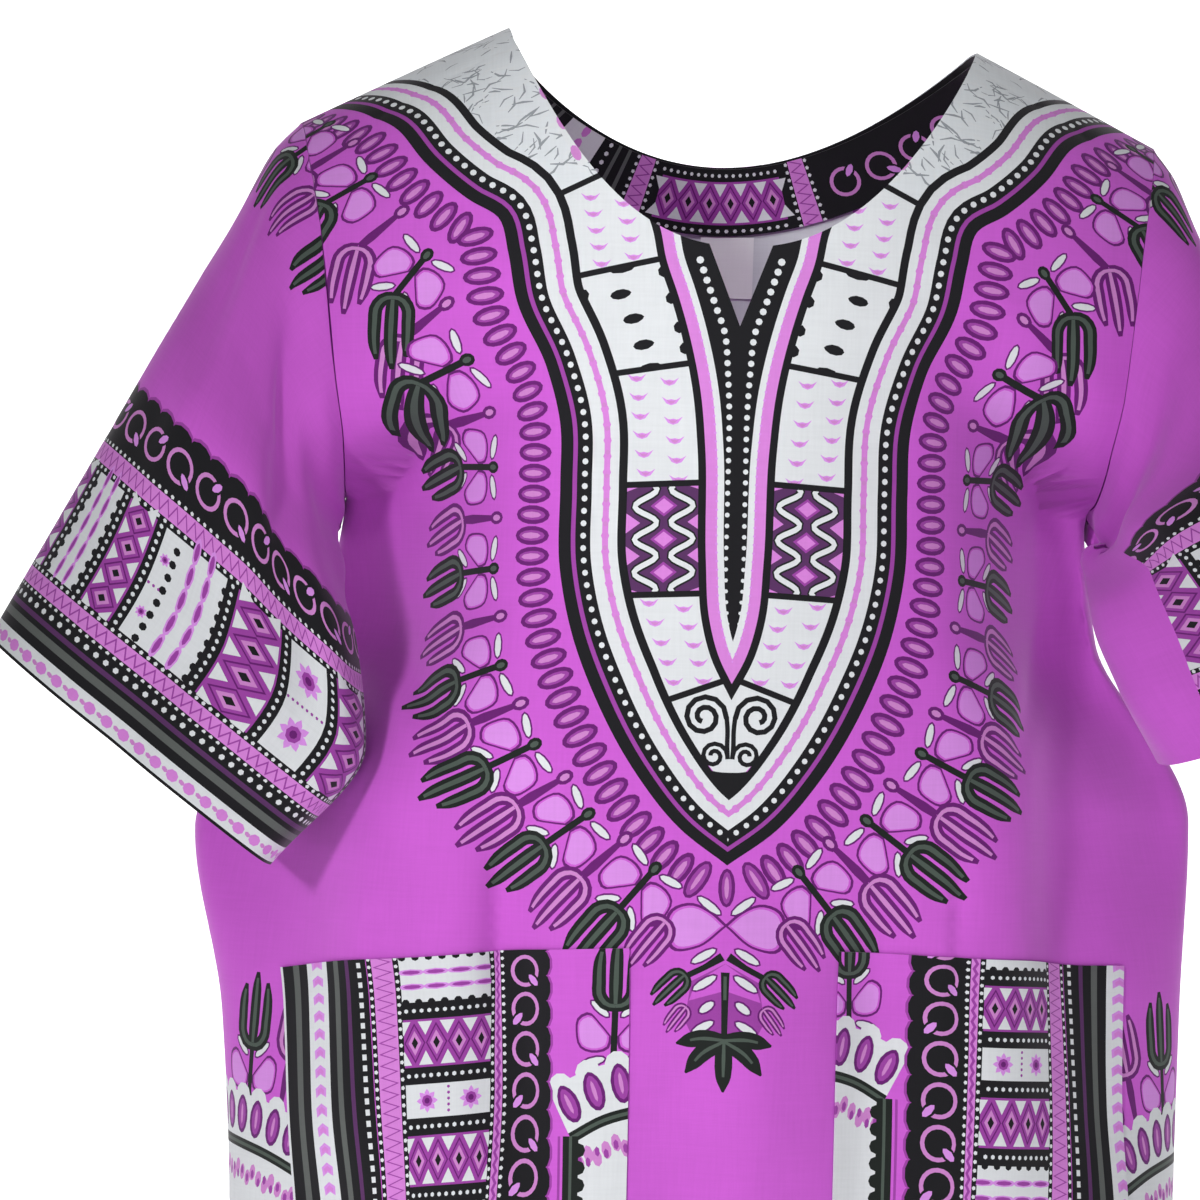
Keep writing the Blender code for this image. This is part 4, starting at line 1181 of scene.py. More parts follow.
# Arc of the dome at the side seam, and its foot. Bands along the hem, down to past its edge.
SIDE_DOME = ((330.0, 644.0), (302.0, 643.5), (276.0, 645.0), (253.0, 649.0), (230.0, 657.0), (205.0, 670.0))
SIDE_DOME_FOOT, HEM_REACH = 780.0, 330.0
HEM_BANDS = ((776.0, 779.0, "black"), (780.5, 784.5, "mauve"), (786.0, 796.0, "black"), (798.0, 811.0, "white"),
             (812.5, 850.0, "black"))


def hem_print(design):
    """Dome at the side seam, and the plain bands along the hem."""
    unit_of_ring(design, (268.0, 621.0), (-0.08, -1.0))
    unit_of_ring(design, (218.0, 634.0), (-0.3, -0.95))
    bud_between(design, (243.0, 625.0), (-0.2, -0.97))
    dome(design, SIDE_DOME, SIDE_DOME_FOOT)
    for top, bottom, shade in HEM_BANDS:
        design.box(-2.0, top, HEM_REACH, bottom, shade)
    for x in np.arange(4.0, HEM_REACH, 9.0):
        design.fill([(x - 3.2, 801.5), (x + 3.2, 801.5), (x + 1.6, 807.5), (x - 4.8, 807.5)], "pink")
    for x in np.arange(3.0, HEM_REACH, 6.2):
        design.dot((x, 791.0), 1.6, "white", 6)


def back_yoke():
    """Half of the back's print: the same border and ring, with a ladder down the middle."""
    design, border = half_panel(5)
    for *corners, rows, stagger in BACK_CRESCENTS:
        crescent_cell(design, cell_map(*corners), rows, stagger)
    scrolls(design)
    for k, (start, end) in enumerate(DIVIDERS):
        design.stroke(lengthened(start, end if k else BACK_FIRST_DIVIDER_END, 7.0), DIVIDER_WIDTH, "black")
    top = 40.0
    for upper, lower, bottom, shade in ((26.0, 19.0, 392.0, "black"), (22.5, 15.5, 389.0, "mauve"),
                                        (14.0, 10.0, 386.0, "black")):
        design.fill([(-2.0, top), (upper, top), (lower, bottom), (-2.0, bottom)], shade)
    for y in np.arange(62.0, 384.0, 15.0):
        design.oval((0.0, y), 7.0, 8.6, (0.0, 1.0), "pink", 4)
        design.oval((0.0, y), 2.4, 2.8, (0.0, 1.0), "black", 4)
        design.fill([(10.5, y + 3.5), (4.0, y + 7.5), (10.5, y + 11.5)], "white")
        design.fill([(-1.0, y + 6.4), (1.2, y + 7.5), (-1.0, y + 8.6)], "white")
    for y in np.arange(58.0, 384.0, 7.0):
        design.dot((17.5 - (y - 60.0) * 0.014, y), 1.5, "petal", 6)
    bands_of_border(design, border)
    return design


ZIGZAG_PITCH, EDGE_DOT_PITCH = 3.0, 4.4


def zigzag_row(design, start, end, width):
    """Purple band with a zigzag and small white dots along both edges."""
    start, end = np.array(start, float), np.array(end, float)
    way = unit(end - start)
    aside = np.array([way[1], -way[0]])
    length = np.linalg.norm(end - start)
    design.stroke([start, (start + end) / 2, end], width, "black")
    design.stroke([start, (start + end) / 2, end], width - 5.2, "pink")
    reach = aside * (width / 2 - 4.0)
    path = [start + way * ZIGZAG_PITCH * k + reach * (-1) ** k for k in range(int(length / ZIGZAG_PITCH) + 1)]
    design.stroke(path, 1.7, "mauve")
    for k in range(int(length / EDGE_DOT_PITCH) + 1):
        for side in (1.0, -1.0):
            centre = start + way * EDGE_DOT_PITCH * k + aside * side * (width / 2 - 1.2)
            design.dot(centre, 1.15, "white", 5)


def white_cell(design, left, right, top, bottom):
    """Cell with long purple streaks and a wavy dark edge."""
    design.box(left, top, right, bottom, "white")
    width = right - left
    up = 1 if top > bottom else -1
    for part in (0.34, 0.66):
        x = left + width * part
        for y in np.arange(bottom + 4.0 * up, top, 13.0 * up):
            design.oval((x, y + 2.0), 7.4, width * 0.075, (0.0, 1.0), "petal", 8)
            design.oval((x, y + 2.0), 5.0, width * 0.045, (0.0, 1.0), "mauve", 8)
    for y in np.arange(min(top, bottom) + 2.0, max(top, bottom), 7.0):
        for x in (left, right):
            design.dot((x, y), 2.1, "black", 7)


def diamond_cell(design, left, right, top, bottom, count=4):
    """Row of diamonds with dark eyes between white triangles, along y."""
    design.box(left, top, right, bottom, "mauve")
    pitch = (top - bottom) / count
    middle, half = (left + right) / 2, (right - left) / 2
    for k in range(count + 1):
        y = bottom + pitch * k
        for x, way in ((left + 1.2, 1.0), (right - 1.2, -1.0)):
            design.fill([(x, y - pitch * 0.33), (x + way * half * 0.58, y), (x, y + pitch * 0.33)], "white")
    for k in range(count):
        y = bottom + pitch * (k + 0.5)
        for size, shade in ((0.98, "deep"), (0.84, "mauve"), (0.6, "rose"), (0.3, "black")):
            points = [(middle - half * size * 0.86, y), (middle, y + pitch * 0.5 * size)]
            points += [(middle + half * size * 0.86, y), (middle, y - pitch * 0.5 * size)]
            design.fill(points, shade)


def star_cell(design, left, right, top, bottom, count=2):
    """White squares with soft purple stars, along y."""
    design.box(left, top, right, bottom, "white")
    pitch = (top - bottom) / count
    for k in range(count):
        centre = np.array([(left + right) / 2, bottom + pitch * (k + 0.5)])
        reach = min(abs(pitch), right - left) * 0.36
        for turn in range(4):
            way = (math.cos(turn * math.pi / 4), math.sin(turn * math.pi / 4))
            design.oval(centre, reach, reach * 0.3, way, "petal", 8)
        design.dot(centre, reach * 0.5, "mauve", 8)
        design.dot(centre, reach * 0.25, "deep", 8)
    for k in range(1, count):
        y = bottom + pitch * k
        for x in np.arange(left + 2.0, right, 3.0):
            design.dot((x, y), 0.9, "mauve", 5)


def dotted_bar(design, left, right, top, bottom):
    """Dark bar with a row of pale dots, along y."""
    design.box(left, top, right, bottom, "black")
    for y in np.arange(min(top, bottom) + 2.0, max(top, bottom), 4.2):
        design.dot(((left + right) / 2, y), 1.2, "grey", 6)


def ladder(design, cells, top, bottom, way=1.0):
    """Cells and bars side by side from 0 one way, each with its own width, between two heights."""
    x = 0.0
    for kind, width in cells:
        before, x = x, x + width * way
        LADDER_CELLS[kind](design, min(before, x), max(before, x), top, bottom)


LADDER_CELLS = {"white": white_cell, "diamonds": diamond_cell, "stars": star_cell, "bar": dotted_bar}


def ring_row(design, start, end, radius, pitch):
    """Open rings along a line, each with a flame across it, to one side and the other in turn."""
    start, end = np.array(start, float), np.array(end, float)
    way = unit(end - start)
    along = math.atan2(way[1], way[0])
    for k in range(int(np.linalg.norm(end - start) / pitch) + 1):
        centre = start + way * (pitch * k)
        design.dot(centre, radius, "rose", 20)
        design.dot(centre, radius * 0.76, "black", 18)
        lean = along + math.pi / 4.0 * (1.0 if k % 2 else -1.0)
        towards = np.array([math.cos(lean), math.sin(lean)])
        design.oval(centre + towards * radius * 0.72, radius * 0.5, radius * 0.36, towards, "black", 10)
        flame = centre + towards * radius * 0.82
        design.oval(flame, radius * 0.46, radius * 0.22, towards, "petal", 8, tip=0.7)


BAR, DIAMONDS, STARS, WHITE = ("bar", 7.0), ("diamonds", 32.0), ("stars", 26.0), ("white", 34.0)
SLEEVE_CELLS = {
    # From the outer edge of the right sleeve towards its front, and on round it.
    -1: (("white", 22.0), ("bar", 6.0), ("diamonds", 19.0), ("bar", 6.0), ("stars", 9.0), ("white", 31.0),
         ("bar", 8.0), DIAMONDS, BAR, ("stars", 24.0), BAR, DIAMONDS, BAR, WHITE),
    1: (("white", 30.0), BAR, DIAMONDS, BAR, STARS, BAR, DIAMONDS, BAR, WHITE, BAR, DIAMONDS, BAR),
}
BACK_CELLS = (("bar", 6.0), DIAMONDS, BAR, STARS, BAR, DIAMONDS, BAR, WHITE, BAR, DIAMONDS, BAR, STARS, BAR,
              DIAMONDS)
# Heights over the cuff: the ring band, the ladder's ground and its cells, and the stack at the hem.
RING_BAND, LADDER_BAND, LADDER_TOP, LADDER_BOTTOM = (120.0, 149.8), (46.0, 106.0), 105.0, 47.0
SLEEVE_STACK = ((26.0, 33.4, "black"), (23.4, 26.2, "dusk"), (20.6, 23.6, "black"), (16.6, 20.8, "smoke"),
                (11.6, 16.8, "black"), (1.4, 11.8, "white"), (-3.0, 1.6, "black"))
# Half the way round at the cuff. The left sleeve's bands end short of the seam under the arm, at these.
HALF_ROUND, BANDS_END, HIDDEN_BANDS_END = 262.0, -203.0, 168.0
# Knots of the ring that go on over the sleeve's cap, each with its direction. Units first, then buds.
CAP_UNITS = {
    -1: (((-30.0, 352.0), (0.15, -1.0)), ((-95.0, 338.0), (0.0, -1.0)), ((34.0, 352.0), (0.0, -1.0))),
    1: (((-40.0, 322.0), (0.0, -1.0)), ((22.0, 322.0), (0.0, -1.0))),
}
CAP_BUDS = {
    -1: (((-62.0, 348.0), (0.1, -1.0)), ((2.0, 352.0), (0.05, -1.0))),
    1: (((-9.0, 324.0), (0.0, -1.0)),),
}


def sleeve_print(side):
    """Bands round the cuff, and the ring of leaves on the sleeve's cap. y runs up from the cuff."""
    design = Design()
    a0, a1 = -HALF_ROUND, HALF_ROUND
    for foot, way in CAP_UNITS[side]:
        unit_of_ring(design, foot, way)
    for foot, way in CAP_BUDS[side]:
        bud_between(design, foot, way)
    design.box(a0, 149.0, a1, 151.5, "mauve")
    for height, half_long, half_wide, shade in ((149.5, 8.4, 5.6, "mauve"), (148.5, 8.0, 4.8, "black")):
        for a in np.arange(a0, a1, 14.5):
            design.oval((a, height), half_long, half_wide, (1.0, 0.0), shade, 10)
    design.box(a0, RING_BAND[0], a1, RING_BAND[1], "black")
    ring_row(design, (a1 - 4.0, 135.5), (a0, 135.5), 8.8, 20.5)
    zigzag_row(design, (a0, 113.5), (a1, 113.5), 15.0)
    design.box(a0, LADDER_BAND[0], a1, LADDER_BAND[1], "black")
    ladder(design, SLEEVE_CELLS[side], LADDER_TOP, LADDER_BOTTOM, -1.0)
    ladder(design, BACK_CELLS, LADDER_TOP, LADDER_BOTTOM)
    zigzag_row(design, (a0, 39.5), (a1, 39.5), 13.5)
    for low, high, shade in SLEEVE_STACK:
        design.box(a0, low, a1, high, shade)
    for a in np.arange(a0, a1, 6.2):
        design.dot((a, 29.6), 1.6, "white", 6)
    for a in np.arange(a0, a1, 11.0):
        design.oval((a, 6.4), 3.6, 3.0, (1.0, 0.25), "pink", 8)
        design.oval((a + 5.0, 6.6), 2.0, 1.2, (1.0, 0.25), "rose", 6)
    if side > 0:
        # Plain cloth on both sides of the seam, aslant towards the hem in front.
        for edge, low, high in ((a0, BANDS_END - 24.0, BANDS_END), (a1, HIDDEN_BANDS_END, HIDDEN_BANDS_END)):
            design.fill([(edge, -3.0), (low, -3.0), (high, 158.0), (edge, 158.0)], "base")
    return design


POCKET_STACK = ((-4.0, 1.8, "white"), (1.6, 9.4, "black"), (9.2, 14.0, "smoke"), (13.8, 20.4, "black"),
                (20.2, 37.4, "white"), (37.2, 43.2, "black"), (43.0, 47.0, "smoke"), (46.8, 52.2, "black"),
                (52.0, 54.8, "dusk"), (54.6, 65.6, "black"))
POCKET_TOP_Y, POCKET_END_Y = -5.0, 240.0
POCKET_CELLS = (("white", 26.0), ("bar", 9.4), ("diamonds", 25.4), ("bar", 8.8), ("stars", 17.0), ("bar", 8.8),
                ("diamonds", 25.4), ("bar", 8.8), ("white", 25.0), ("bar", 9.4), ("diamonds", 25.4),
                ("bar", 8.8), ("stars", 17.0), ("bar", 8.8))


def turned(design):
    """The same shapes with their two directions changed over."""
    other = Design()
    for points, shade in design.shapes:
        other.fill(points[:, ::-1], SHADE_NAMES[shade])
    return other


def pocket_print():
    """Print of both pockets: x runs in from the outer edge, y down from the top."""
    design = Design()
    unit_of_ring(design, (204.0, 62.0), (0.03, -1.0))
    dome(design, ((240.0, 85.0), (217.0, 87.5), (199.0, 92.0), (182.0, 100.5)), 250.0)
    top, end = POCKET_TOP_Y, POCKET_END_Y
    for shade, middle in (("mauve", 167.6), ("black", 166.2)):
        for y in np.arange(-6.0, end, 14.2):
            design.oval((middle, y), 8.0, 4.4, (0.0, 1.0), shade, 10)
    design.box(136.0, top, 167.0, end, "black")
    ring_row(design, (153.6, 12.5), (153.6, end), 9.4, 21.5)
    cells = Design()
    ladder(cells, POCKET_CELLS, 131.0, 83.0)
    design.box(79.0, top, 134.0, end, "black")
    design.shapes += turned(cells).shapes
    for x, width in ((136.2, 9.6), (74.3, 16.6)):
        zigzag_row(design, (x, top + 1.0), (x, end), width)
    for near, far, shade in POCKET_STACK:
        design.box(near, top, far, end, shade)
    for y in np.arange(2.0, end, 5.6):
        design.box(60.0, y, 62.4, y + 3.0, "white")
    for y in np.arange(3.0, end, 9.8):
        design.fill([(24.2, y - 3.0), (28.8, y - 5.4), (33.4, y - 3.0), (33.0, y + 1.6), (28.8, y - 0.4),
                     (24.6, y + 1.6)], "petal")
        design.fill([(26.0, y - 2.2), (28.8, y - 3.8), (31.6, y - 2.2), (31.2, y + 0.2), (28.8, y - 1.2),
                     (26.4, y + 0.2)], "pink")
    return design


def facing_print():
    """Print of the back neck's facing: x runs along the neck, y out from its edge."""
    design = Design()
    design.box(-200.0, -5.0, 200.0, 45.0, "black")
    cells = Design()
    diamond_cell(cells, 7.0, 31.0, 38.0, -34.0, 6)
    design.shapes += turned(cells).shapes
    for x in np.arange(-34.0, 40.0, 4.4):
        for y in (3.6, 34.4):
            design.dot((x, y), 1.1, "white", 6)
    for x in (-46.0, 50.0):
        zigzag_row(design, (x, -3.0), (x, 42.0), 15.0)
    for x in (-59.0, -66.0):
        design.stroke([(x, -3.0), (x, 20.0), (x, 42.0)], 2.2, "smoke")
    for y in np.arange(2.0, 40.0, 5.4):
        design.dot((-72.0, y), 1.4, "white", 6)
    design.box(-104.0, -5.0, -78.0, 45.0, "white")
    for y in np.arange(2.0, 40.0, 9.0):
        design.oval((-91.0, y), 4.0, 2.6, (0.0, 1.0), "pink", 8)
    for x in (-112.0, -120.0, -130.0):
        design.stroke([(x, -3.0), (x, 20.0), (x, 42.0)], 2.4, "smoke")
    ring_row(design, (74.0, 20.0), (180.0, 20.0), 8.6, 22.0)
    return design

# ---------------------------------------------------------------- meshes

EPSILON = 1e-4
MERGE = 1e-3
# Loose points stand in rows this far apart, each row half a step along and nearer than a step.
STEP = 5.0
ROW_SHARE, TAKEN_SHARE, LONGEST_SHARE = 0.866, 0.55, 1.2
NEIGHBOURS = [(i, j) for i in (-1, 0, 1) for j in (-1, 0, 1)]


def with_steps(points, longest):
    """The same outline with points along its long edges."""
    ends = np.roll(points, -1, axis=0)
    counts = np.maximum(1, np.ceil(np.hypot(*(ends - points).T) / longest).astype(int))
    if counts.max() == 1:
        return points
    return np.concatenate([a + (b - a) * np.arange(n)[:, None] / n for a, b, n in zip(points, ends, counts)])


def cut_flat(outline, shapes):
    """Triangles of a flat outline, cut along the shapes on it: points, triangles, the outline point that
    each point is (or -1) and the shade of each triangle."""
    x, y = outline.T
    order = np.arange(len(outline))
    if np.dot(x, np.roll(y, -1)) < np.dot(y, np.roll(x, -1)):
        order = order[::-1]
    points = [outline[order]] + [with_steps(shape, STEP * LONGEST_SHARE) for shape, _ in shapes]
    faces, count = [], 0
    for group in points:
        faces.append(list(range(count, count + len(group))))
        count += len(group)
    fixed = np.concatenate(points)
    low, high = outline.min(axis=0), outline.max(axis=0)
    xs = np.arange(low[0] + STEP / 2, high[0], STEP)
    ys = np.arange(low[1] + STEP / 2, high[1], STEP * ROW_SHARE)
    loose = np.array([(px + (k % 2) * STEP / 2, py) for k, py in enumerate(ys) for px in xs])
    cell = STEP * TAKEN_SHARE
    taken = set(map(tuple, np.floor((fixed - low) / cell).astype(int)))
    keys = np.floor((loose - low) / cell).astype(int)
    free = [not any((a + i, b + j) in taken for i, j in NEIGHBOURS) for a, b in keys]
    vertices = [Vector(p) for p in np.concatenate([fixed, loose[free]]).tolist()]
    found, _, triangles, origins, _, owners = delaunay_2d_cdt(vertices, [], faces, 0, EPSILON, True)
    kept = [k for k, owner in enumerate(owners) if 0 in owner]
    shade = [shapes[max(owners[k]) - 1][1] if max(owners[k]) else GROUND for k in kept]
    source = np.full(len(found), -1)
    for k, origin in enumerate(origins):
        own = [i for i in origin if i < len(outline)]
        if own:
            source[k] = order[own[0]]
    flat = np.array([tuple(p) for p in found])
    return flat, np.array([triangles[k] for k in kept]), source, np.array(shade)


def sides_of(triangle):
    a, b, c = (int(v) for v in triangle)
    return (a, b), (b, c), (c, a)


def edge_loop(triangles):
    """Points round the edge of a patch, in order."""
    pairs = {pair for triangle in triangles for pair in sides_of(triangle)}
    edges = {a: b for a, b in pairs if (b, a) not in pairs}
    start = next(iter(edges))
    loop, at = [start], edges[start]
    while at != start:
        loop.append(at)
        at = edges[at]
    return loop


def linked(name, data):
    """New object of the scene with this data."""
    thing = bpy.data.objects.new(name, data)
    bpy.context.scene.collection.objects.link(thing)
    return thing


class Layer:
    """One side of a patch: an outline filled with triangles, cut along the shapes on it."""

    def __init__(self, surface, cloth, outline_flat, outline_places, shapes):
        flat, triangles, source, self.shade = cut_flat(outline_flat, shapes)
        used, back = np.unique(triangles, return_inverse=True)
        self.flat, self.triangles, self.source = flat[used], back.reshape(triangles.shape), source[used]
        self.places = cloth.places(self.flat)
        exact = self.source >= 0
        self.places[exact] = outline_places[self.source[exact]]
        self.points, self.normals = surface.at(self.places[:, 0], self.places[:, 1])


class Patch:
    """Printed cloth cut to an outline: two layers a wall apart."""

    def __init__(self, surface, cloth, outline, shapes, wall, inner_shapes=()):
        outer = Layer(surface, cloth, cloth.flat(outline), np.asarray(outline, float), shapes)
        loop = edge_loop(outer.triangles)
        inner = Layer(surface, cloth, outer.flat[loop], outer.places[loop], inner_shapes)
        behind = {loop[int(s)]: k for k, s in enumerate(inner.source) if s >= 0}
        count = len(outer.points)
        self.points = np.concatenate([outer.points, inner.points - inner.normals * wall])
        self.normals = np.concatenate([outer.normals, -inner.normals])
        self.flat = np.concatenate([outer.flat, inner.flat])
        # A flat map that turns the cloth over needs its faces turned back.
        triangles, inner_triangles = outer.triangles, inner.triangles
        a, b, c = (outer.points[triangles[:, k]] for k in range(3))
        facing = np.einsum("ij,ij->i", np.cross(b - a, c - a), outer.normals[triangles[:, 0]])
        if np.median(facing) < 0:
            triangles, inner_triangles = triangles[:, ::-1], inner_triangles[:, ::-1]
        self.outer = triangles
        self.inner = inner_triangles[:, ::-1] + count
        self.shade = outer.shade
        self.inner_shade = np.where(inner.shade == GROUND, -1, inner.shade)
        pairs = {pair: k for k, triangle in enumerate(triangles) for pair in sides_of(triangle)}
        self.rim = [
            ((b, a, behind[a] + count, behind[b] + count), self.shade[k])
            for (a, b), k in pairs.items()
            if (b, a) not in pairs and a in behind and b in behind
        ]


def printed_piece(name, *patches, material=None, reverse="reverse"):
    """One closed mesh of all the patches, welded where they meet. reverse is the shade of their inner side
    where nothing is printed on it."""
    faces, shades, is_rim, count = [], [], [], 0
    for patch in patches:
        faces += [tuple(t) for t in (np.concatenate([patch.outer, patch.inner]) + count).tolist()]
        shades += patch.shade.tolist()
        shades += np.where(patch.inner_shade < 0, SHADE_NAMES.index(reverse), patch.inner_shade).tolist()
        is_rim += [False] * (len(patch.outer) + len(patch.inner))
        for quad, shade in patch.rim:
            faces.append(tuple(v + count for v in quad))
            shades.append(shade)
            is_rim.append(True)
        count += len(patch.points)
    points = np.concatenate([patch.points for patch in patches])
    normals = np.concatenate([patch.normals for patch in patches])
    flat = np.concatenate([patch.flat for patch in patches])
    first = back = np.arange(len(points))
    if len(patches) > 1:
        keys = np.round(points / MERGE).astype(np.int64)
        _, first, back = np.unique(keys, axis=0, return_index=True, return_inverse=True)
        back = back.ravel()
    # Rims between two patches vanish where the patches are welded.
    rims = {}
    for k, face in enumerate(faces):
        if is_rim[k]:
            rims.setdefault(frozenset(int(back[v]) for v in face), []).append(k)
    gone = {k for group in rims.values() if len(group) > 1 for k in group}
    whole = [len({int(back[v]) for v in face}) == len(face) for face in faces]
    kept = [k for k, is_whole in enumerate(whole) if is_whole and k not in gone]
    mesh = bpy.data.meshes.new(name)
    mesh.from_pydata((points[first] * MM).tolist(), [], [[int(back[v]) for v in faces[k]] for k in kept])
    corners = np.array([v for k in kept for v in faces[k]])
    sizes = [len(faces[k]) for k in kept]
    loop_normals = normals[corners]
    for k, at, size in zip(kept, np.cumsum([0, *sizes]), sizes):
        if is_rim[k]:
            a, b, c = (points[v] for v in faces[k][:3])
            loop_normals[at : at + size] = unit(np.cross(b - a, c - a))
    colours = np.array([linear(SHADES[s]) + [1.0] for s in SHADE_NAMES])
    attribute = mesh.color_attributes.new("print", "FLOAT_COLOR", "CORNER")
    attribute.data.foreach_set("color", np.repeat(colours[[shades[k] for k in kept]], sizes, axis=0).ravel())
    layer = mesh.uv_layers.new(name="flat")
    layer.data.foreach_set("uv", (flat[corners] * MM).ravel())
    mesh.shade_smooth()
    mesh.normals_split_custom_set(loop_normals.tolist())
    mesh.materials.append(material or COTTON)
    return linked(name, mesh)


# ---------------------------------------------------------------- outlines of the pieces

TINY = 1e-6
# Points along each stretch of the outlines.
SHOULDER_POINTS, ARMHOLE_POINTS, SIDE_POINTS, HEM_POINTS = 26, 86, 131, 60
NECK_POINTS, SLIT_POINTS, CENTRE_POINTS = 61, 12, 150
SLEEVE_LENGTH_POINTS, CUFF_POINTS = 64, 121


def panel_outline(panel, side):
    """Places (r, s) round half of a body panel, from the neck along the shoulder, down the side and back."""
    start = neck_start(panel, side)
    places = [(0.0, side * s) for s in np.linspace(start, 1.0, SHOULDER_POINTS)]
    upper = np.linspace(0.0, UNDERARM_ROW, ARMHOLE_POINTS)[1:]
    lower = np.linspace(UNDERARM_ROW, LAST_ROW, SIDE_POINTS)[1:]
    places += [(r, float(side)) for r in (*upper, *lower)]
    places += [(LAST_ROW, side * s) for s in np.linspace(1.0, 0.0, HEM_POINTS)[1:]]
    drop, power = NECK_DROP[panel], NECK_POWER[panel]
    share = np.linspace(0.0, 1.0, NECK_POINTS)[:-1]
    part = 1.0 - share ** (1.0 / power)
    x = neck_half_width(part * drop, side, drop, power)
    z = -part * drop
    if panel == "front":
        beside = x > SLIT_HALF_WIDTH
        depth = drop * (1.0 - (SLIT_HALF_WIDTH / NECK_HALF_WIDTH) ** (1.0 / power))
        slit = np.linspace(1.0, 0.0, SLIT_POINTS)[::-1]
        x = np.concatenate([SLIT_HALF_WIDTH * slit, x[beside]])
        z = np.concatenate([-(SLIT_BOTTOM - (SLIT_BOTTOM - depth) * slit), z[beside]])
    s, r = place(panel, side * np.maximum(x, TINY), z)
    top = float(r[0])
    places += [(r_c, 0.0) for r_c in np.linspace(LAST_ROW, top, CENTRE_POINTS)[1:]]
    places += [(float(a), float(b)) for a, b in zip(r[1:], s[1:])]
    return places


def sleeve_outline():
    """Places (t, angle) round a sleeve cut open under the arm."""
    along = np.linspace(1.0, 0.0, SLEEVE_LENGTH_POINTS)
    around = np.linspace(-180.0, 180.0, CUFF_POINTS)
    places = [(1.0, a) for a in around]
    places += [(t, 180.0) for t in along[1:]]
    places += [(0.0, a) for a in around[::-1][1:]]
    places += [(t, -180.0) for t in along[::-1][1:-1]]
    return places


def box_outline(rows, columns, row_count, column_count):
    """Places (row, column) round a piece with four straight sides."""
    (r0, r1), (c0, c1) = rows, columns
    places = [(r0, c) for c in np.linspace(c0, c1, column_count)]
    places += [(r, c1) for r in np.linspace(r0, r1, row_count)[1:]]
    places += [(r1, c) for c in np.linspace(c1, c0, column_count)[1:]]
    places += [(r, c0) for r in np.linspace(r1, r0, row_count)[1:-1]]
    return places


def facing_places(out, part):
    """Places (x, z) of the back neck's facing, a distance out from the neck's edge."""
    down = 1.0 - part * part
    x = np.sign(part) * (NECK_HALF_WIDTH + out) * np.abs(part) + NECK_SHIFT * (1.0 - down)
    z = -(NECK_DROP["back"] + out + FACING_INSET) * down - (SHOULDER_FALL * out + FACING_START) * (1.0 - down)
    return x, z


def lining_surface(rows, columns, spread, lift):
    """Surface of cloth against the inside of the back."""
    column, row = np.meshgrid(columns, rows)
    x, z = spread(row, column)
    s, r = place("back", x, z)
    _, inner = body_wall("back", s, r, lift, THIN_WALL)
    return Surface(rows, columns, inner, -1.0)


# ---------------------------------------------------------------- materials


def plain_material(name, **inputs):
    """Material whose shader has these inputs, named with _ for a space."""
    material = bpy.data.materials.new(name)
    material.use_nodes = True
    shader = material.node_tree.nodes["Principled BSDF"]
    for key, given in inputs.items():
        shader.inputs[key.replace("_", " ")].default_value = given
    return material, shader


WEAVE_BUMP_STRENGTH, WEAVE_BUMP_DISTANCE = 0.16, 0.00022
# Scale and detail of the noise that runs along single threads, and how it is stretched both ways.
SLUB_NOISE, SLUB_LONG, SLUB_SHORT = (260.0, 2.0), 0.14, 2.6
# The same for the paler and darker patches, their share of the tone, and the mean of all three.
PATCH_NOISE, PATCH_SHARE, MEAN_TONE = (26.0, 3.0), 1.2, 1.6


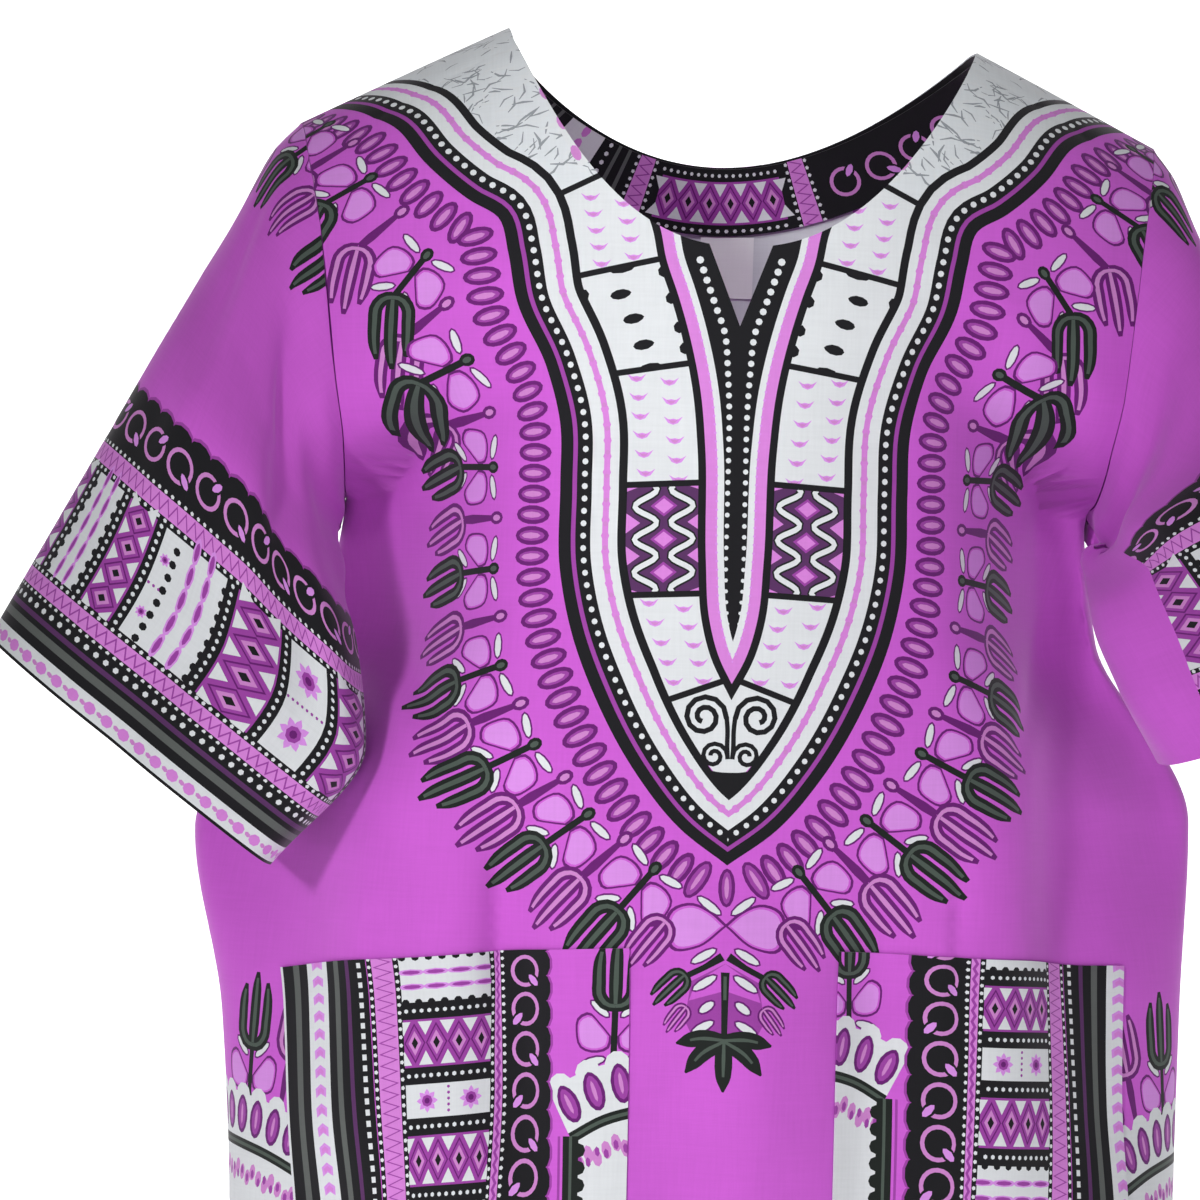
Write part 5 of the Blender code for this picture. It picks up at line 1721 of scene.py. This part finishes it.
def fabric(name, roughness, weave, thread, sheen):
    """Plain-weave printed cotton: the print, thread by thread changes of tone, and a fine weave. weave is
    the distance between threads, in metres, and thread is how much the tone changes."""
    material, shader = plain_material(
        name, Roughness=roughness, Sheen_Weight=sheen, Sheen_Roughness=0.45, Sheen_Tint=(1.0, 0.93, 1.0, 1.0),
        Specular_IOR_Level=0.22,
    )
    nodes, links = material.node_tree.nodes, material.node_tree.links
    colour = nodes.new("ShaderNodeVertexColor")
    colour.layer_name = "print"
    uv = nodes.new("ShaderNodeUVMap")
    uv.uv_map = "flat"

    def noise(scale, detail, stretch):
        mapping = nodes.new("ShaderNodeMapping")
        mapping.inputs["Scale"].default_value = stretch
        links.new(uv.outputs["UV"], mapping.inputs["Vector"])
        texture = nodes.new("ShaderNodeTexNoise")
        texture.inputs["Scale"].default_value = scale
        texture.inputs["Detail"].default_value = detail
        links.new(mapping.outputs["Vector"], texture.inputs["Vector"])
        return texture.outputs["Fac"]

    def maths(kind, a, b=0.0):
        node = nodes.new("ShaderNodeMath")
        node.operation = kind
        for socket, given in zip(node.inputs, (a, b)):
            if isinstance(given, (int, float)):
                socket.default_value = given
            else:
                links.new(given, socket)
        return node.outputs[0]

    slubs_across = noise(*SLUB_NOISE, (SLUB_LONG, SLUB_SHORT, 1.0))
    slubs_down = noise(*SLUB_NOISE, (SLUB_SHORT, SLUB_LONG, 1.0))
    patches = noise(*PATCH_NOISE, (1.0, 1.0, 1.0))
    tone = maths("ADD", maths("ADD", slubs_across, slubs_down), maths("MULTIPLY", patches, PATCH_SHARE))
    tone = maths("ADD", 1.0, maths("MULTIPLY", maths("SUBTRACT", tone, MEAN_TONE), thread))
    tint = nodes.new("ShaderNodeMix")
    tint.data_type = "RGBA"
    tint.blend_type = "MULTIPLY"
    tint.inputs["Factor"].default_value = 1.0
    grey = nodes.new("ShaderNodeCombineColor")
    for socket in grey.inputs:
        links.new(tone, socket)
    links.new(colour.outputs["Color"], tint.inputs["A"])
    links.new(grey.outputs["Color"], tint.inputs["B"])
    links.new(tint.outputs["Result"], shader.inputs["Base Color"])
    separate = nodes.new("ShaderNodeSeparateXYZ")
    links.new(uv.outputs["UV"], separate.inputs["Vector"])
    threads = [
        maths("ABSOLUTE", maths("SINE", maths("MULTIPLY", separate.outputs[axis], math.pi / weave)))
        for axis in ("X", "Y")
    ]
    height = maths("MULTIPLY", maths("ADD", *threads), 0.5)
    height = maths("ADD", height, maths("ADD", slubs_across, slubs_down))
    bump = nodes.new("ShaderNodeBump")
    bump.inputs["Strength"].default_value = WEAVE_BUMP_STRENGTH
    bump.inputs["Distance"].default_value = WEAVE_BUMP_DISTANCE
    links.new(height, bump.inputs["Height"])
    links.new(bump.outputs["Normal"], shader.inputs["Normal"])
    return material


GROUND = SHADE_NAMES.index("base")
COTTON = fabric("printed cotton", 0.82, 0.0008, 0.10, 0.22)
TAPE = fabric("white label tape", 0.7, 0.0007, 0.05, 0.1)


# ---------------------------------------------------------------- the pieces


def mirrored(design, side):
    """The shapes of half a panel's print, on a side."""
    if side > 0:
        return design.shapes
    return [((points * (-1.0, 1.0))[::-1], shade) for points, shade in design.shapes]


# Grey ground inside the back's neck, on half the panel, and half the width of the dark edge round it.
NECK_GROUND = ((-1.0, 30.0), (70.0, 60.0), (78.0, 140.0), (60.0, 230.0), (-1.0, 250.0))
NECK_EDGE, NECK_EDGE_POINTS = 7.0, 60
# Where on the pocket's print each pocket starts: past its outer edge, and below its top.
POCKET_WINDOW = {-1: (0.0, 0.0), 1: (26.0, 20.0)}
POCKET_POINTS = 41

PIECES = {}
SURFACES = {panel: body_surface(panel) for panel in PANELS}
for panel, half_print in (("front", front_yoke()), ("back", back_yoke())):
    panel_flat = BodyFlat(panel)
    halves = []
    for side in (-1, 1):
        outline = panel_outline(panel, side)
        neck = Design()
        if panel == "back":
            edge = panel_flat.flat(outline[-NECK_EDGE_POINTS:] + outline[:1])
            neck.fill(np.array(NECK_GROUND) * (side, 1.0), "grey")
            neck.band(edge[::4], -NECK_EDGE, NECK_EDGE, "black")
        shapes = mirrored(half_print, side)
        halves.append(Patch(SURFACES[panel], panel_flat, outline, shapes, WALL, neck.shapes))
    PIECES[panel] = printed_piece(panel + "_cloth", *halves)

for side, name in ((-1, "sleeve_right"), (1, "sleeve_left")):
    tube = sleeve_surface(side)
    PIECES[name] = printed_piece(
        name + "_cloth", Patch(tube, SleeveFlat(tube), sleeve_outline(), sleeve_print(side).shapes, WALL)
    )

chest = SURFACES["front"]
lifted = Surface(chest.rows, chest.columns, chest.points + chest.normals * (SEAM_GAP + THIN_WALL), -1.0)
pocket_shapes = pocket_print().shapes
for side, name in ((-1, "pocket_right"), (1, "pocket_left")):
    ends = [side * pocket_reach(side, edge[side]) for edge in (POCKET_OUTER_EDGE, POCKET_INNER_EDGE)]
    columns = np.linspace(*ends, POCKET_POINTS)
    top = chest.at(np.full(POCKET_POINTS, POCKET_ROWS[0]), columns)[0]
    across = running(np.linalg.norm(np.diff(top, axis=0), axis=1))
    start, drop = POCKET_WINDOW[side]
    cloth = PlainFlat(across + start, columns, np.array([drop, drop + POCKET_HEIGHT]), np.array(POCKET_ROWS))
    PIECES[name] = printed_piece(
        name + "_cloth", Patch(lifted, cloth, box_outline(POCKET_ROWS, ends, 50, 48), pocket_shapes, THIN_WALL)
    )

rows, columns = np.linspace(0.0, FACING_DEPTH, 12), np.linspace(-1.0, 1.0, 121)
lining = lining_surface(rows, columns, facing_places, -(WALL + SEAM_GAP + FACING_EASE))
along = running(np.linalg.norm(np.diff(lining.points[len(rows) // 2], axis=0), axis=1))
cloth = PlainFlat(along - along[len(columns) // 2], columns, rows, rows)
outline = box_outline((0.0, FACING_DEPTH), (-1.0, 1.0), 10, 81)
PIECES["back_neck_facing"] = printed_piece(
    "back_neck_facing_cloth", Patch(lining, cloth, outline, facing_print().shapes, THIN_WALL)
)


def label_places(down, part):
    """Places (x, z) of the label, which hangs straight down below the facing."""
    return LABEL_SHIFT + LABEL_WIDTH * part, LABEL_TOP - down


rows, columns = np.linspace(0.0, LABEL_HEIGHT, 9), np.linspace(-0.5, 0.5, 9)
lining = lining_surface(rows, columns, label_places, -(WALL + SEAM_GAP))
cloth = PlainFlat(LABEL_WIDTH * columns, columns, rows, rows)
blank = Design()
blank.box(-20.0, -2.0, 20.0, 40.0, "label")
PIECES["neck_label"] = printed_piece(
    "neck_label_tape",
    Patch(lining, cloth, box_outline((0.0, LABEL_HEIGHT), (-0.5, 0.5), 9, 9), blank.shapes, THIN_WALL),
    material=TAPE,
    reverse="label",
)

# ---------------------------------------------------------------- cloth on the root body, in place of the CAD parts

for node, piece in PIECES.items():
    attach(piece, "root")
    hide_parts(node)

# ---------------------------------------------------------------- stage, camera and light

FLOOR_HEIGHT, HALF_FLOOR = -0.86, 6.0
# Depth and height over the floor, from in front of the shirt to the top of the wall far behind it.
SWEEP = ((-4.0, 0.0), (3.4, 0.0), (4.2, 0.1), (4.8, 0.5), (5.0, 1.2), (5.0, 4.86))


def backdrop():
    """Pale floor that sweeps up behind."""
    smooth = curve_through([(y, FLOOR_HEIGHT + up) for y, up in SWEEP], 0.12)
    points = [(x, y, z) for y, z in smooth for x in (-HALF_FLOOR, HALF_FLOOR)]
    faces = [(2 * k, 2 * k + 1, 2 * k + 3, 2 * k + 2) for k in range(len(smooth) - 1)]
    mesh = bpy.data.meshes.new("backdrop")
    mesh.from_pydata(points, [], faces)
    mesh.shade_smooth()
    paper, _ = plain_material(
        "pale paper", Roughness=0.95, Specular_IOR_Level=0.1, Emission_Color=(1.0, 1.0, 1.0, 1.0),
        Emission_Strength=0.95, Base_Color=(0.93, 0.93, 0.935, 1.0),
    )
    mesh.materials.append(paper)
    linked("backdrop", mesh)


backdrop()

AZIMUTH, ROLL = math.radians(-2.5), math.radians(1.5)
DISTANCE, EYE_HEIGHT, SIDE_SHIFT = 2.5, -0.3028, 0.0634
LENS, SENSOR, CLIP = 138.9, 36.0, (0.05, 50.0)
right = Vector((math.cos(AZIMUTH), math.sin(AZIMUTH), 0.0))
ahead = Vector((-math.sin(AZIMUTH), math.cos(AZIMUTH), 0.0))
camera = linked("camera", bpy.data.cameras.new("camera"))
camera.location = Vector((0.0, 0.0, EYE_HEIGHT)) - ahead * DISTANCE - right * SIDE_SHIFT
camera.rotation_mode = "QUATERNION"
camera.rotation_quaternion = Quaternion(ahead, -ROLL) @ ahead.to_track_quat("-Z", "Y")
camera.data.lens = LENS
camera.data.sensor_width = SENSOR
camera.data.clip_start, camera.data.clip_end = CLIP
bpy.context.scene.camera = camera


def hang(name, light, power, place_at, look_at):
    """Puts a light up at a place, turned to look at another."""
    light.energy = power
    lamp = linked(name, light)
    lamp.location = place_at
    lamp.rotation_mode = "QUATERNION"
    lamp.rotation_quaternion = (Vector(look_at) - Vector(place_at)).to_track_quat("-Z", "Y")
    return lamp


def soft_light(name, place_at, size, power):
    """Wide pale panel that looks at the middle of the shirt."""
    light = bpy.data.lights.new(name, "AREA")
    light.shape = "RECTANGLE"
    light.size, light.size_y = size
    hang(name, light, power, place_at, TARGET)


def spot_light(name, place_at, look_at, angle, power, tall=1.0):
    """Spot with a soft edge, whose patch of light may be taller than it is wide."""
    light = bpy.data.lights.new(name, "SPOT")
    light.spot_size, light.spot_blend = math.radians(angle), 1.0
    light.shadow_soft_size = SPOT_RADIUS
    hang(name, light, power, place_at, look_at).scale = (1.0, tall, 1.0)


TARGET = (0.0, 0.0, -0.35)
SPOT_RADIUS, WORLD_STRENGTH = 0.2, 0.15
spot_light("key", (-1.5, -2.3, 0.45), (0.03, 0.0, -0.5), 14.6, 176.0, tall=2.1)
spot_light("neck", (-0.1, -1.7, 1.2), (0.0, 0.0, -0.08), 13.0, 100.0)
soft_light("fill", (1.2, -2.6, -0.3), (1.6, 1.6), 5.0)
soft_light("back", (0.6, 2.0, 1.4), (2.0, 1.4), 7.0)
world = bpy.data.worlds.new("pale room")
bpy.context.scene.world = world
world.use_nodes = True
world.node_tree.nodes["Background"].inputs["Color"].default_value = (1.0, 1.0, 1.0, 1.0)
world.node_tree.nodes["Background"].inputs["Strength"].default_value = WORLD_STRENGTH
bpy.context.scene.view_settings.view_transform = "Standard"
